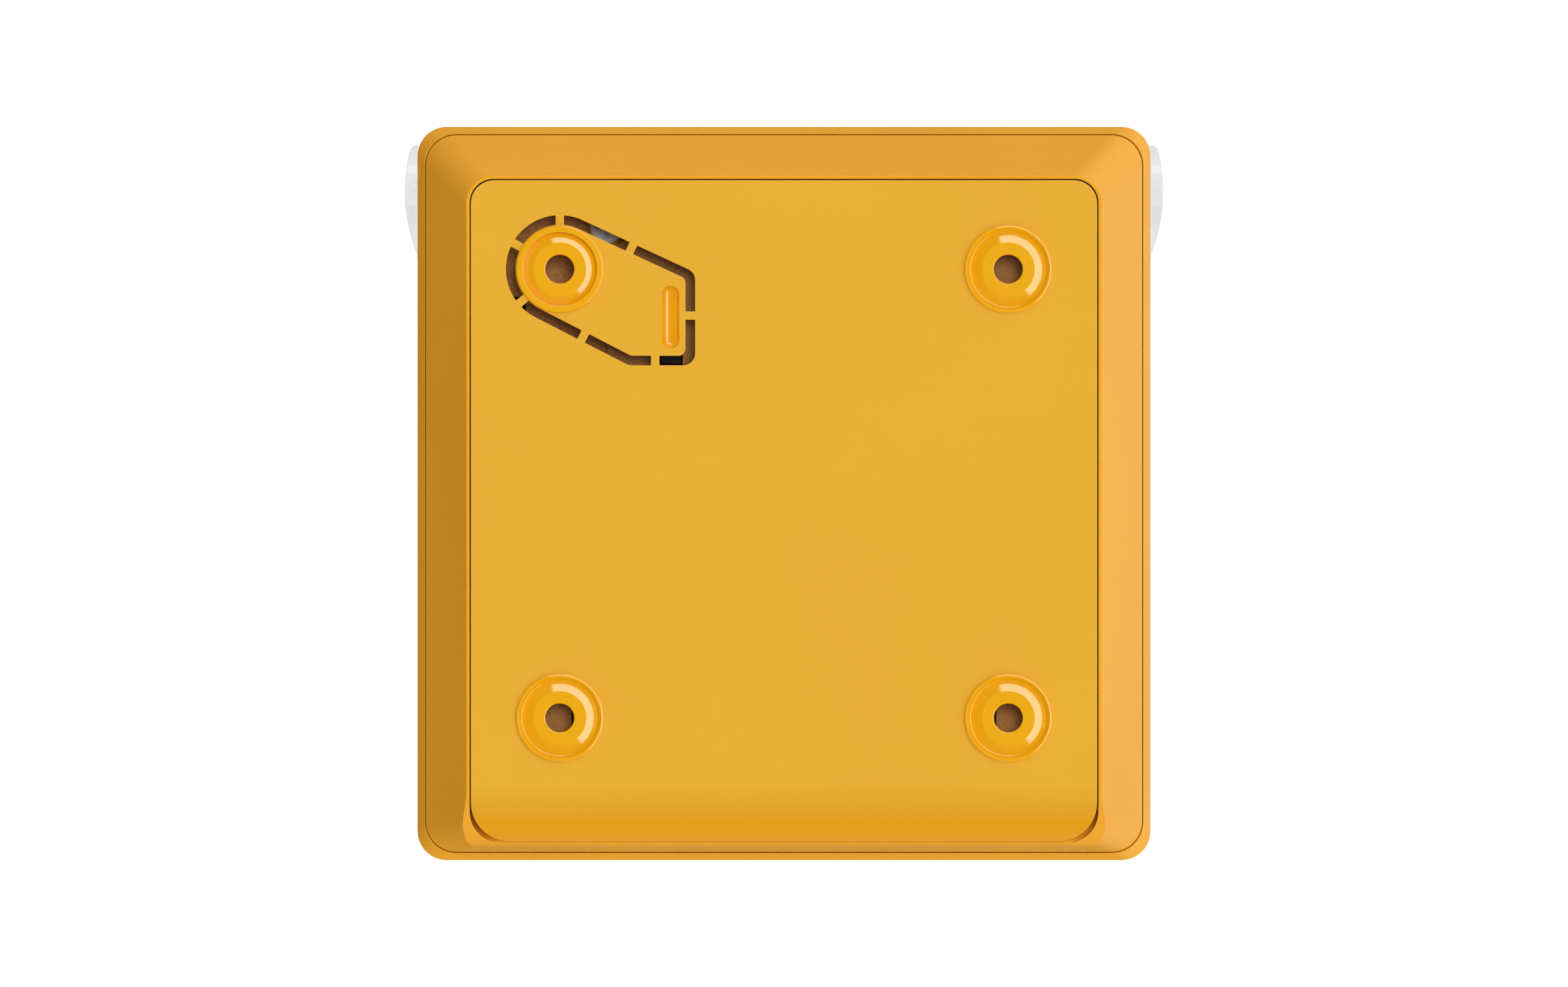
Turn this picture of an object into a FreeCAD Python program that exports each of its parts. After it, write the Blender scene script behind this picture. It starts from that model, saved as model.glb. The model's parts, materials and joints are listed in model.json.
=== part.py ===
"""Wall-mounted push-button call unit with a flip-up clear cover, in millimetres.

Frame: the wall is the plane Y = 0, the unit stands out from it towards -Y and +Z is up. The origin is the
centre of the four wall-screw holes. "Depth" below means the distance from the wall, that is -Y.
"""
import FreeCAD, Part
import math
import os
import Sketcher

Vector = FreeCAD.Vector
doc = FreeCAD.newDocument("call_unit")
sheet = doc.addObject("Spreadsheet::Sheet", "dims")

DIMENSIONS = [
    # mounting interface
    ("screw_half", 30.0, "half the pitch of the wall-screw holes"),
    ("screw_hole", 1.93, "radius of a wall-screw hole"),
    # outside of the case
    ("rear_depth", 0.6, "rear rim of the case"),
    ("rear_half", 42.5, "half width of the rear rim, and its top"),
    ("rear_bottom", 46.6, "where the bottom face would meet the rear rim"),
    ("rear_corner", 3.7, "corner radius of the rear rim"),
    ("bend_radius", 8.4, "bend between the rear face and the bottom"),
    ("parting_depth", 14.7, "parting line of the two housings"),
    ("parting_half", 48.15, "half width at the parting line"),
    ("parting_corner", 4.1, "corner radius at the parting line"),
    ("parting_gap", 0.2, "set-back of the front shell's outer lip"),
    ("slit", 0.11, "width of the slit around the parting line, as seen from the rear"),
    ("slit_lip", 0.09, "thickness of the front shell's lip outside the slit"),
    ("slit_floor", 16.2, "bottom of the slit"),
    ("land", 1.0, "from the parting line to the land on which the rims meet"),
    ("seal_at", 1.25, "from the parting line to the seal's groove"),
    ("seal_wide", 0.65, "width of the seal's groove"),
    ("seal_gap", 0.05, "play of the seal in its groove"),
    ("widest_depth", 17.6, "widest section of the case"),
    ("widest_half", 49.3, "half width of the widest section"),
    ("widest_corner", 3.9, "corner radius of the widest section"),
    ("front_depth", 43.5, "front face of the case"),
    ("front_half", 48.6, "half width of the front face"),
    ("front_round", 3.0, "rounding of the front edge"),
    ("wall", 2.2, "thickness of the case's side walls"),
    ("inner_corner", 2.2, "corner radius of the cavity"),
    ("front_wall", 2.0, "thickness of the case's front wall"),
    # overlaps and clearances shared by many features
    ("past", 1.0, "how far a cut runs past the face it opens"),
    ("bite", 0.2, "how far a joined block runs into its neighbour"),
    ("screw_gap", 0.05, "gap between a screw's shank and its hole"),
    # recess for the mounting plate
    ("recess_half", 42.07, "half width of the recess, and its top"),
    ("recess_bottom", 46.79, "bottom of the recess"),
    ("recess_corner", 3.2, "upper corners of the recess"),
    ("recess_low_corner", 4.2, "lower corners of the recess"),
    ("recess_floor", 5.6, "depth of the recess floor"),
    ("inner_floor", 7.4, "inside face of the rear wall"),
    ("relief_x", 23.7, "inner side of the relief in the recess floor, behind the tab"),
    ("relief_low", 15.0, "lower side of the relief"),
    ("relief_floor", 6.3, "depth of the relief"),
    ("cable_x", 34.6, "inner side of the cable opening behind the tab"),
    ("cable_top", 26.36, "upper side of the cable opening"),
    ("cable_wide", 4.6, "width of the cable opening"),
    ("cable_tall", 10.0, "height of the cable opening"),
    # mounting plate
    ("plate_half", 41.9, "half width of the plate, and its top"),
    ("plate_bottom", 46.6, "bottom of the plate's lip"),
    ("plate_corner", 3.1, "upper corners of the plate"),
    ("plate_low_corner", 5.2, "lower corners of the plate"),
    ("plate_rear", 0.5, "rear surface of the plate"),
    ("plate_thick", 2.0, "thickness of the plate"),
    ("lip_end", 5.45, "depth at which the lip stops, clear of the recess floor"),
    ("boss_ring", 3.55, "flat ring around a screw hole"),
    ("hole_edge", 0.1, "chamfer of a screw hole"),
    ("boss_foot", 4.85, "foot of a boss's slope"),
    ("moat_floor", 0.75, "depth of the slope's foot"),
    ("moat_radius", 5.2, "foot of the moat's outer wall"),
    ("moat_round", 0.22, "fillet between the slope and the outer wall"),
    ("bead_peak", 5.55, "crest of the bead around a moat"),
    ("bead_radius", 5.93, "outside of the bead"),
    ("collar_inside", 4.96, "inside of the flat collar of the tab's boss"),
    ("collar_flat", 5.66, "where the collar's rounded edge begins"),
    ("collar_radius", 5.84, "outside of the collar"),
    # break-away tamper tab, around the upper hole at +X
    ("tab_radius", 7.22, "outer arc of the tab's slot"),
    ("tab_slot", 1.28, "width of the slot"),
    ("tab_reach", 18.1, "outer side of the slot, from the hole"),
    ("tab_drop", 12.86, "outer underside of the slot, from the hole"),
    ("tab_corner", 1.6, "outer corners of the slot"),
    ("tab_top_slope", 24.9, "fall of the slot's upper side, degrees"),
    ("tab_low_slope", 27.2, "slope of the slot's lower side, degrees"),
    ("bridge", 1.12, "width of a break-away bridge"),
    ("bridge_thick", 1.1, "thickness of a break-away bridge"),
    ("rib_near", 13.66, "near side of the tamper rib, from the hole"),
    ("rib_far", 15.96, "far side of the tamper rib, from the hole"),
    ("rib_top", 2.2, "top of the tamper rib, below the hole"),
    ("rib_low", 10.6, "bottom of the tamper rib, below the hole"),
    ("rib_depth", 4.2, "front of the tamper rib"),
    ("rib_wall", 0.4, "wall of the rib outside its trough"),
    ("trough_corner", 1.13, "corner radius of the rib's trough"),
    ("trough_floor", 1.75, "bottom of the rib's trough"),
    ("trough_round", 1.08, "rounding along the bottom of the trough"),
    # blades on the plate, and the spring clips in the case that grip them
    ("clip_x", 26.83, "middle of a clip"),
    ("clip_z", 30.0, "middle of a clip, below the centre"),
    ("blade_half", 1.12, "half thickness of a blade"),
    ("blade_tall", 3.0, "half height of a blade and of its clip"),
    ("blade_end", 8.3, "front end of a blade"),
    ("clip_sheet", 0.4, "thickness of a clip's sheet"),
    ("clip_front", 10.8, "front of a clip"),
    ("clip_wall", 0.8, "wall of the pocket around a clip"),
    # case screws and posts
    ("case_screw_x", 23.8, "upper case screws"),
    ("case_screw_z", 35.7, "upper case screws"),
    ("low_screw_x", 38.0, "lower case screws"),
    ("low_screw_z", 20.0, "lower case screws"),
    ("screw_head", 2.3, "radius of a case-screw head"),
    ("screw_head_thick", 1.7, "thickness of a case-screw head"),
    ("screw_shank", 1.25, "radius of the small screws' shanks"),
    ("head_edge", 0.35, "rounded edge of a screw head"),
    ("cross_reach", 0.71, "reach of a head's cross recess, as a share of the head's radius"),
    ("cross_half", 0.28, "half width of the arms of a cross recess"),
    ("small_head", 2.0, "radius of the inner screws' heads"),
    ("small_head_thick", 1.4, "thickness of the inner screws' heads"),
    ("screw_seat", 7.7, "depth at which a case-screw head rests"),
    ("sink_radius", 2.9, "counterbore around a case-screw head"),
    ("post", 3.4, "radius of the case-screw posts"),
    # tamper parts
    ("tamper_x", 15.1, "centre of the tamper window"),
    ("tamper_z", 23.1, "centre of the tamper window"),
    ("window_w", 3.0, "width of the tamper window"),
    ("window_tall", 11.8, "height of the tamper window"),
    ("window_gap", 0.2, "play of the tamper blade in its window"),
    ("tamper_flange", 9.6, "rear face of the tamper plunger's flange"),
    ("tamper_flange_thick", 1.2, "thickness of the flange"),
    ("tamper_flange_half", 2.6, "half width of the flange"),
    ("tamper_flange_tall", 6.6, "half height of the flange"),
    ("tamper_stem", 1.4, "radius of the tamper plunger's stem"),
    ("tamper_stem_end", 20.2, "front end of the stem"),
    ("tamper_switch_rear", 18.0, "rear face of the tamper switch"),
    ("tamper_switch_half", 4.0, "half width of the tamper switch"),
    ("tamper_coil", 2.2, "mean radius of the tamper spring"),
    ("tamper_wire", 0.2, "radius of the tamper spring's wire"),
    ("slide_gap", 0.05, "running clearance on each side of a sliding or turning piece"),
    # electronics
    ("board_rear", 26.0, "rear face of the circuit board"),
    ("board_thick", 1.6, "thickness of the circuit board"),
    ("board_half", 42.0, "half width of the circuit board"),
    ("board_screw_x", 40.0, "board screws"),
    ("board_screw_z", 10.0, "board screws"),
    ("module_x", 23.0, "middle of the radio module, on the -X side"),
    ("module_z", 30.0, "middle of the radio module, below the centre"),
    ("module_wide", 10.0, "half width of the radio module"),
    ("module_tall", 8.0, "half height of the radio module"),
    ("module_board", 0.8, "thickness of the module's own board"),
    ("shield_thick", 2.0, "thickness of the module's shield"),
    ("antenna_x", 33.0, "antenna wire"),
    ("antenna_foot", 13.0, "where the antenna leaves the board"),
    ("antenna_top", 33.0, "upper end of the antenna"),
    ("antenna_gap", 2.5, "distance of the antenna from the board"),
    ("antenna_bend", 1.0, "radius of the antenna's bend"),
    ("antenna_wire", 0.5, "radius of the antenna wire"),
    ("led_half", 1.6, "half width of the light source"),
    ("led_thick", 1.8, "thickness of the light source"),
    ("cell_radius", 8.5, "radius of a battery cell"),
    ("cell_long", 34.5, "length of a battery cell"),
    ("cell_depth", 16.4, "depth of the cells' axis"),
    ("cell_tip", 3.0, "radius of a cell's terminal"),
    ("tray_front", 20.0, "front of the battery tray"),
    ("tray_wall", 1.8, "side walls of the battery tray"),
    ("contact_half", 5.0, "half width of a battery contact"),
    ("contact_sheet", 0.4, "thickness of a battery contact"),
    # push mechanism
    ("push_half", 25.7, "half width of the push plate"),
    ("push_front", 44.9, "front face of the push plate"),
    ("push_thick", 2.0, "thickness of the push plate"),
    ("push_corner", 1.4, "corner radius of the push plate"),
    ("disc", 4.5, "radius of the disc on the push plate"),
    ("arrow_tip", 7.5, "tip of an arrowhead, from the centre"),
    ("arrow_base", 15.0, "base of an arrowhead, from the centre"),
    ("arrow_half", 5.5, "half height of an arrowhead's base"),
    ("mark_thick", 0.25, "height of the symbol above the push plate"),
    ("pin_at", 18.0, "guide pins of the push plate, from the centre"),
    ("pin_radius", 2.0, "radius of a guide pin"),
    ("pin_rear", 31.5, "rear end of the guide pins"),
    ("chassis_rear", 35.0, "rear face of the chassis plate"),
    ("chassis_thick", 2.0, "thickness of the chassis plate"),
    ("chassis_half", 34.0, "half width of the chassis"),
    ("chassis_tall", 32.0, "half height of the chassis"),
    ("chassis_screw_x", 30.5, "chassis screws"),
    ("chassis_screw_z", 26.0, "chassis screws"),
    ("sleeve_radius", 3.6, "outside of the guide sleeves"),
    ("sleeve_rear", 32.0, "rear end of the guide sleeves"),
    ("sleeve_front", 39.2, "front end of the guide sleeves"),
    ("spring_radius", 4.3, "mean radius of a return spring"),
    ("spring_wire", 0.3, "radius of a return spring's wire"),
    ("spring_turns", 2.5, "turns of a return spring"),
    ("seat_inside", 3.8, "inside of a return spring's seat behind the push plate"),
    ("seat_outside", 4.9, "outside of that seat"),
    ("seat_tall", 1.25, "height of that seat"),
    ("stem_x", 6.0, "push stem, on the -X side of the centre"),
    ("stem_radius", 1.0, "radius of the push stem's tip"),
    ("stem_rear", 38.35, "tip of the push stem"),
    ("switch_half", 6.4, "half length of the switch"),
    ("switch_thick", 2.9, "half thickness of the switch"),
    ("switch_front", 34.1, "front of the switch"),
    ("plunger_x", 2.0, "switch plunger"),
    ("plunger_radius", 0.8, "radius of the switch plunger"),
    ("plunger_rear", 31.9, "rear end of the switch plunger"),
    ("plunger_front", 35.18, "front end of the switch plunger"),
    ("lever_x", 5.5, "lever pivot"),
    ("lever_depth", 34.7, "depth of the lever pivot"),
    ("lever_pin", 0.5, "radius of the lever pin"),
    ("lever_eye", 0.95, "outside of the lever's eye"),
    ("lever_long", 13.4, "length of the lever from its pivot"),
    ("lever_thick", 0.4, "thickness of the lever"),
    ("lever_angle", 15.1, "rise of the lever at rest, degrees"),
    ("lever_half", 1.4, "half width of the lever"),
    ("lever_ears", 2.6, "half width over the ears that carry the lever's pin"),
    ("bezel_half", 33.0, "half width of the bezel"),
    ("bezel_corner", 3.0, "outer corners of the bezel"),
    ("bezel_slope", 1.8, "width of the slope around the bezel's opening"),
    ("bezel_slope_deep", 0.9, "height of that slope"),
    ("bezel_opening", 25.9, "half width of the bezel's opening"),
    ("bezel_seat", 42.3, "depth of the bezel's seat"),
    ("bezel_front", 44.4, "front of the bezel"),
    ("light_z", 37.0, "height of the status light"),
    ("light_radius", 2.2, "radius of the status light"),
    # protective cover
    ("pivot_depth", 33.5, "depth of the cover's hinge axis"),
    ("pivot_z", 41.0, "height of the cover's hinge axis"),
    ("pivot_radius", 1.25, "radius of a cover pin"),
    ("ear_inside", 49.5, "inner face of the cover's ears"),
    ("ear_outside", 51.19, "outermost point of the ears"),
    ("ear_round", 6.1, "radius of the ear about the hinge"),
    ("ear_bottom", 31.6, "lower end of the ears"),
    ("ear_crown", 25.0, "radius of the ears' crowned outside"),
    ("ear_under", 20.0, "where the ear's underside leaves its round, degrees"),
    ("lid_wall", 1.8, "thickness of the lid's rim"),
    ("lid_corner", 3.0, "corner radius of the lid"),
    ("finger_half", 9.0, "half width of the finger tab"),
    ("finger_tall", 3.0, "thickness of the finger tab"),
    ("finger_reach", 3.5, "reach of the finger tab beyond the lid"),
    ("pin_inside", 43.0, "inner end of a cover pin"),
    ("hinge_boss", 3.0, "half height of the boss around a cover pin"),
    ("lid_rear", 44.1, "rear edge of the lid's rim"),
    ("lid_inside", 46.6, "inner face of the lid"),
    ("lid_front", 48.4, "outer face of the lid"),
    ("lid_top", 35.5, "top edge of the lid"),
]
for row, (name, value, note) in enumerate(DIMENSIONS, 1):
    sheet.set(f"A{row}", name)
    sheet.set(f"B{row}", str(value))
    sheet.set(f"C{row}", note)
    sheet.setAlias(f"B{row}", name)
doc.recompute()

EVERY_NODE = []


# ---------------------------------------------------------------- helpers

def size(expression):
    """The value of an expression over the dimension sheet."""
    return float(sheet.evalExpression(str(expression)))


def new_body(label):
    """A body whose label names its file."""
    body = doc.addObject("PartDesign::Body", label)
    body.Label = label
    EVERY_NODE.append(body)
    return body


def sketch_on(body, role, x="0", y="0", offset="0"):
    """A sketch on an origin plane of the body, moved by x and y in the plane and by offset off it.

    On XZ_Plane the sketch's x is +X, its y is +Z and the offset is the depth from the wall.
    """
    sketch = body.newObject("Sketcher::SketchObject", body.Label + "_sketch")
    plane = [f for f in body.Origin.OriginFeatures if f.Role == role][0]
    sketch.AttachmentSupport = [(plane, "")]
    sketch.MapMode = "FlatFace"
    sketch.setExpression("AttachmentOffset.Base.x", str(x))
    sketch.setExpression("AttachmentOffset.Base.y", str(y))
    sketch.setExpression("AttachmentOffset.Base.z", str(offset))
    return sketch


def bind(sketch, kind, *where):
    """Add a dimension whose last argument is its expression."""
    *where, expression = where
    number = sketch.addConstraint(Sketcher.Constraint(kind, *where, size(expression)))
    sketch.setExpression(f"Constraints[{number}]", str(expression))


def place(sketch, geometry, point, x, y):
    """Fix a point of a sketch by its distances from the sketch's origin."""
    bind(sketch, "DistanceX", -1, 1, geometry, point, x)
    bind(sketch, "DistanceY", -1, 1, geometry, point, y)


def circle(sketch, x, y, radius):
    """A circle at x, y."""
    centre = Vector(size(x), size(y), 0)
    number = sketch.addGeometry(Part.Circle(centre, Vector(0, 0, 1), size(radius)))
    place(sketch, number, 3, x, y)
    bind(sketch, "Radius", number, radius)


def outline(sketch, corners, closed=True):
    """A line through corners (x, y), or (x, y, radius) where an arc leads to the corner.

    A positive radius turns counter-clockwise and a negative one clockwise.
    """
    ends = []
    for start, end in zip(corners, corners[1:] + corners[:1] * closed):
        a = Vector(size(start[0]), size(start[1]), 0)
        b = Vector(size(end[0]), size(end[1]), 0)
        if len(end) == 2:
            index = sketch.addGeometry(Part.LineSegment(a, b))
            ends.append((index, 1, 2))
            continue
        radius = size(end[2])
        across = b - a
        rise = math.sqrt(max(radius ** 2 - across.Length ** 2 / 4, 0))
        side = Vector(-across.y, across.x, 0).normalize() * math.copysign(rise, radius)
        centre = (a + b) / 2 + side
        first, last = (a, b) if radius > 0 else (b, a)
        begin = math.atan2(first.y - centre.y, first.x - centre.x)
        finish = math.atan2(last.y - centre.y, last.x - centre.x)
        if finish < begin:
            finish += 2 * math.pi
        arc = Part.ArcOfCircle(Part.Circle(centre, Vector(0, 0, 1), abs(radius)), begin, finish)
        index = sketch.addGeometry(arc)
        bind(sketch, "Radius", index, f"abs({end[2]})")
        ends.append((index, 1, 2) if radius > 0 else (index, 2, 1))
    for (index, _, end), (following, start, _) in zip(ends, ends[1:] + ends[:1] * closed):
        sketch.addConstraint(Sketcher.Constraint("Coincident", index, end, following, start))
    for (index, start, _), corner in zip(ends, corners):
        place(sketch, index, start, corner[0], corner[1])
    if not closed:
        index, _, end = ends[-1]
        place(sketch, index, end, corners[-1][0], corners[-1][1])


def rounded(sketch, left, right, bottom, top, radius, low_radius=None):
    """A rectangle with rounded corners, whose lower corners may have a radius of their own."""
    left, right, bottom, top = (f"({side})" for side in (left, right, bottom, top))
    radius, low_radius = f"({radius})", f"({low_radius or radius})"
    outline(sketch, [
        (f"{left} + {low_radius}", bottom, low_radius),
        (f"{right} - {low_radius}", bottom),
        (right, f"{bottom} + {low_radius}", low_radius),
        (right, f"{top} - {radius}"),
        (f"{right} - {radius}", top, radius),
        (f"{left} + {radius}", top),
        (left, f"{top} - {radius}", radius),
        (left, f"{bottom} + {low_radius}"),
    ])


def square(sketch, half, radius):
    """A centred square with rounded corners."""
    rounded(sketch, f"-({half})", half, f"-({half})", half, radius)


def box(sketch, left, right, bottom, top):
    """A rectangle with sharp corners."""
    outline(sketch, [(left, bottom), (right, bottom), (right, top), (left, top)])


def pad(body, sketch, length, to_wall=False):
    """Add the sketch's area over a length, away from the wall unless to_wall."""
    feature = body.newObject("PartDesign::Pad", body.Label + "_pad")
    feature.Profile = sketch
    feature.Reversed = to_wall
    feature.setExpression("Length", str(length))
    return feature


def volume(body):
    """The body's volume once it is up to date."""
    doc.recompute()
    return body.Shape.Volume


def pocket(body, sketch, length, to_wall=False, both_ways=False):
    """Cut the sketch's area over a length, away from the wall unless to_wall."""
    before = volume(body)
    feature = body.newObject("PartDesign::Pocket", body.Label + "_pocket")
    feature.Profile = sketch
    feature.Reversed = not to_wall
    if both_ways:
        feature.SideType = "Symmetric"
    feature.setExpression("Length", str(length))
    if not volume(body) < before - 1e-6:
        raise ValueError(f"{body.Label}: a pocket cut nothing")
    return feature


def loft(body, near, far, cut=False):
    """Join two sketches by ruled faces, adding or cutting the solid between them."""
    kind = "PartDesign::SubtractiveLoft" if cut else "PartDesign::AdditiveLoft"
    before = volume(body) if cut else 0
    feature = body.newObject(kind, body.Label + "_loft")
    feature.Profile = near
    feature.Sections = [far]
    feature.Ruled = True
    if cut and not volume(body) < before - 1e-6:
        raise ValueError(f"{body.Label}: a loft cut nothing")
    return feature


def turned(body, x, z, corners, cut=False):
    """A turned shape about an axis square to the wall; corners are (radius, depth[, arc radius])."""
    sketch = sketch_on(body, "XY_Plane", x, "0", z)
    outline(sketch, [(c[0], f"-({c[1]})") + tuple(c[2:]) for c in corners])
    before = volume(body) if cut else 0
    kind = "PartDesign::Groove" if cut else "PartDesign::Revolution"
    feature = body.newObject(kind, body.Label + "_turned")
    feature.Profile = sketch
    feature.ReferenceAxis = (sketch, ["V_Axis"])
    feature.Angle = 360
    if cut and not volume(body) < before - 1e-6:
        raise ValueError(f"{body.Label}: a groove cut nothing")
    return feature


def round_edges_at(body, depth, radius):
    """Round every edge of the body that lies at a depth."""
    doc.recompute()
    base = body.Tip
    edges = [
        f"Edge{number}" for number, edge in enumerate(base.Shape.Edges, 1)
        if all(abs(corner.Y + size(depth)) < 1e-4 for corner in edge.Vertexes)
    ]
    fillet = body.newObject("PartDesign::Fillet", body.Label + "_round")
    fillet.Base = (base, edges)
    fillet.setExpression("Radius", radius)
    doc.recompute()


def cylinders(body, centres, radius, start, end, cut=False):
    """Round posts or holes square to the wall, from one depth to another."""
    sketch = sketch_on(body, "XZ_Plane", offset=start)
    for x, z in centres:
        circle(sketch, x, z, radius)
    make = pocket if cut else pad
    return make(body, sketch, f"({end}) - ({start})")


def block(body, left, right, bottom, top, start, end, cut=False):
    """A plain block or cut between two depths."""
    sketch = sketch_on(body, "XZ_Plane", offset=start)
    box(sketch, left, right, bottom, top)
    make = pocket if cut else pad
    return make(body, sketch, f"({end}) - ({start})")


def four(half_x, half_z):
    """The four corners of a rectangle about the origin; the last is at +X and +Z."""
    return [(f"{i} * ({half_x})", f"{j} * ({half_z})") for i in (-1, 1) for j in (-1, 1)]


def at_clip(body, sign, half_wide, half_tall, start, end, cut=False):
    """A block or cut about the middle of a spring clip, on the +X or the -X side."""
    middle = f"{sign} * dims.clip_x"
    block(body, f"{middle} - ({half_wide})", f"{middle} + ({half_wide})",
          f"-dims.clip_z - ({half_tall})", f"-dims.clip_z + ({half_tall})", start, end, cut)


# the bend between the rear face and the bottom: its slope, its centre and its end
SLOPE = "atan((dims.parting_half - dims.rear_bottom) / (dims.parting_depth - dims.rear_depth))"
BEND_DEPTH = "(dims.rear_depth + dims.bend_radius)"
BEND_Z = f"(dims.rear_bottom - dims.bend_radius * (1 - sin({SLOPE})) / cos({SLOPE}))"
BEND_END_DEPTH = f"({BEND_DEPTH} - dims.bend_radius * sin({SLOPE}))"
BEND_END_Z = f"({BEND_Z} + dims.bend_radius * cos({SLOPE}))"

WALL_SCREWS = four("dims.screw_half", "dims.screw_half")
CASE_SCREWS = [
    ("-dims.case_screw_x", "dims.case_screw_z"),
    ("dims.case_screw_x", "dims.case_screw_z"),
    ("-dims.low_screw_x", "-dims.low_screw_z"),
    ("dims.low_screw_x", "-dims.low_screw_z"),
]
BOARD_SCREWS = four("dims.board_screw_x", "dims.board_screw_z")
CHASSIS_SCREWS = four("dims.chassis_screw_x", "dims.chassis_screw_z")
GUIDE_PINS = four("dims.pin_at", "dims.pin_at")
INNER_HALF = "(dims.parting_half - dims.wall)"
FRONT_INSIDE = "(dims.front_depth - dims.front_wall)"
PLATE_FRONT = "(dims.plate_rear + dims.plate_thick)"
BOARD_FRONT = "(dims.board_rear + dims.board_thick)"
CHASSIS_FRONT = "(dims.chassis_rear + dims.chassis_thick)"
PUSH_REAR = "(dims.push_front - dims.push_thick)"
SPRING_FRONT = f"({PUSH_REAR} - dims.seat_tall)"


# ---------------------------------------------------------------- mounting plate

# bridges of the tab: direction of the slot's normal from -X towards +Z, distance of the slot's outer side
# from the hole along that normal, and the bridge's distance along the slot
BRIDGES = [
    ("90", "dims.tab_radius", "0"),
    ("150.6", "dims.tab_radius", "0"),
    ("220", "dims.tab_radius", "0"),
    ("(90 - dims.tab_top_slope)", "dims.tab_radius", "7.5"),
    ("(270 - dims.tab_low_slope)", "dims.tab_radius", "-6.9"),
    ("270", "dims.tab_drop", "-12.76"),
    ("0", "dims.tab_reach", "6.2"),
]


def tab_outline(sketch, inset):
    """One side of the tab's slot: an arc about the screw hole, two tangents and three round corners.

    The tab lies on the -X side of its hole. A point on a tangent is where the tangent meets a side.
    """
    radius = f"(dims.tab_radius - {inset})"
    reach = f"(dims.tab_reach - {inset})"
    drop = f"(dims.tab_drop - {inset})"
    corner = f"(dims.tab_corner - {inset} / 2)"
    top, low = "dims.tab_top_slope", "dims.tab_low_slope"
    # a corner's arc touches its two sides at these distances from the corner
    top_touch = f"({corner} * tan((90 - {top}) / 2))"
    low_touch = f"({corner} * tan({low} / 2))"
    top_z = f"(({radius} - {reach} * sin({top})) / cos({top}))"
    low_x = f"(({drop} * cos({low}) - {radius}) / sin({low}))"
    outline(sketch, [
        (f"-{radius} * sin({top})", f"{radius} * cos({top})"),
        (f"{radius}", "0", f"-{radius}"),
        (f"{radius} * sin({low})", f"-{radius} * cos({low})", f"-{radius}"),
        (f"-({low_x} - {low_touch} * cos({low}))", f"-({drop} - {low_touch} * sin({low}))"),
        (f"-({low_x} + {low_touch})", f"-{drop}", f"-{corner}"),
        (f"-({reach} - {corner})", f"-{drop}"),
        (f"-{reach}", f"-({drop} - {corner})", f"-{corner}"),
        (f"-{reach}", f"{top_z} - {top_touch}"),
        (f"-({reach} - {top_touch} * cos({top}))", f"{top_z} + {top_touch} * sin({top})", f"-{corner}"),
    ])


def bridge(sketch, normal, out, along):
    """A bar across the tab's slot.

    Its middle lies at a distance out along the slot's normal, and at a distance along the slot from there.
    """
    def corner(side, end):
        reach = f"({out} + {end} * (dims.tab_slot / 2 + 0.3))"
        shift = f"({along} + {side} * dims.bridge / 2)"
        return (f"-({reach} * cos({normal}) + {shift} * sin({normal}))",
                f"{reach} * sin({normal}) - {shift} * cos({normal})")
    outline(sketch, [corner(1, 1), corner(1, -1), corner(-1, -1), corner(-1, 1)])


def bent_sheet(body):
    """The plate's sheet with its lip, which follows the bend of the case."""
    face = sketch_on(body, "XZ_Plane")
    rounded(face, "-dims.plate_half", "dims.plate_half", "-dims.plate_bottom", "dims.plate_half",
            "dims.plate_corner", "dims.plate_low_corner")
    pad(body, face, "dims.lip_end")

    # everything outside two concentric arcs is cut away
    rear_bend = "(dims.bend_radius + dims.rear_depth - dims.plate_rear)"
    front_bend = f"({rear_bend} - dims.plate_thick)"
    above = "dims.plate_half + dims.past"
    behind = sketch_on(body, "YZ_Plane")
    outline(behind, [
        ("-dims.plate_rear", above),
        ("-dims.plate_rear", f"-{BEND_Z}"),
        (f"-{BEND_DEPTH}", f"-({BEND_Z} + {rear_bend})", f"-{rear_bend}"),
        ("1", f"-({BEND_Z} + {rear_bend})"),
        ("1", above),
    ])
    pocket(body, behind, "2 * dims.plate_half + 2", both_ways=True)
    in_front = sketch_on(body, "YZ_Plane")
    outline(in_front, [
        (f"-{PLATE_FRONT}", above),
        (f"-{PLATE_FRONT}", f"-{BEND_Z}"),
        (f"-{BEND_DEPTH}", f"-({BEND_Z} + {front_bend})", f"-{front_bend}"),
        (f"-{BEND_DEPTH}", above),
    ])
    pocket(body, in_front, "2 * dims.plate_half + 2", both_ways=True)


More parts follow.
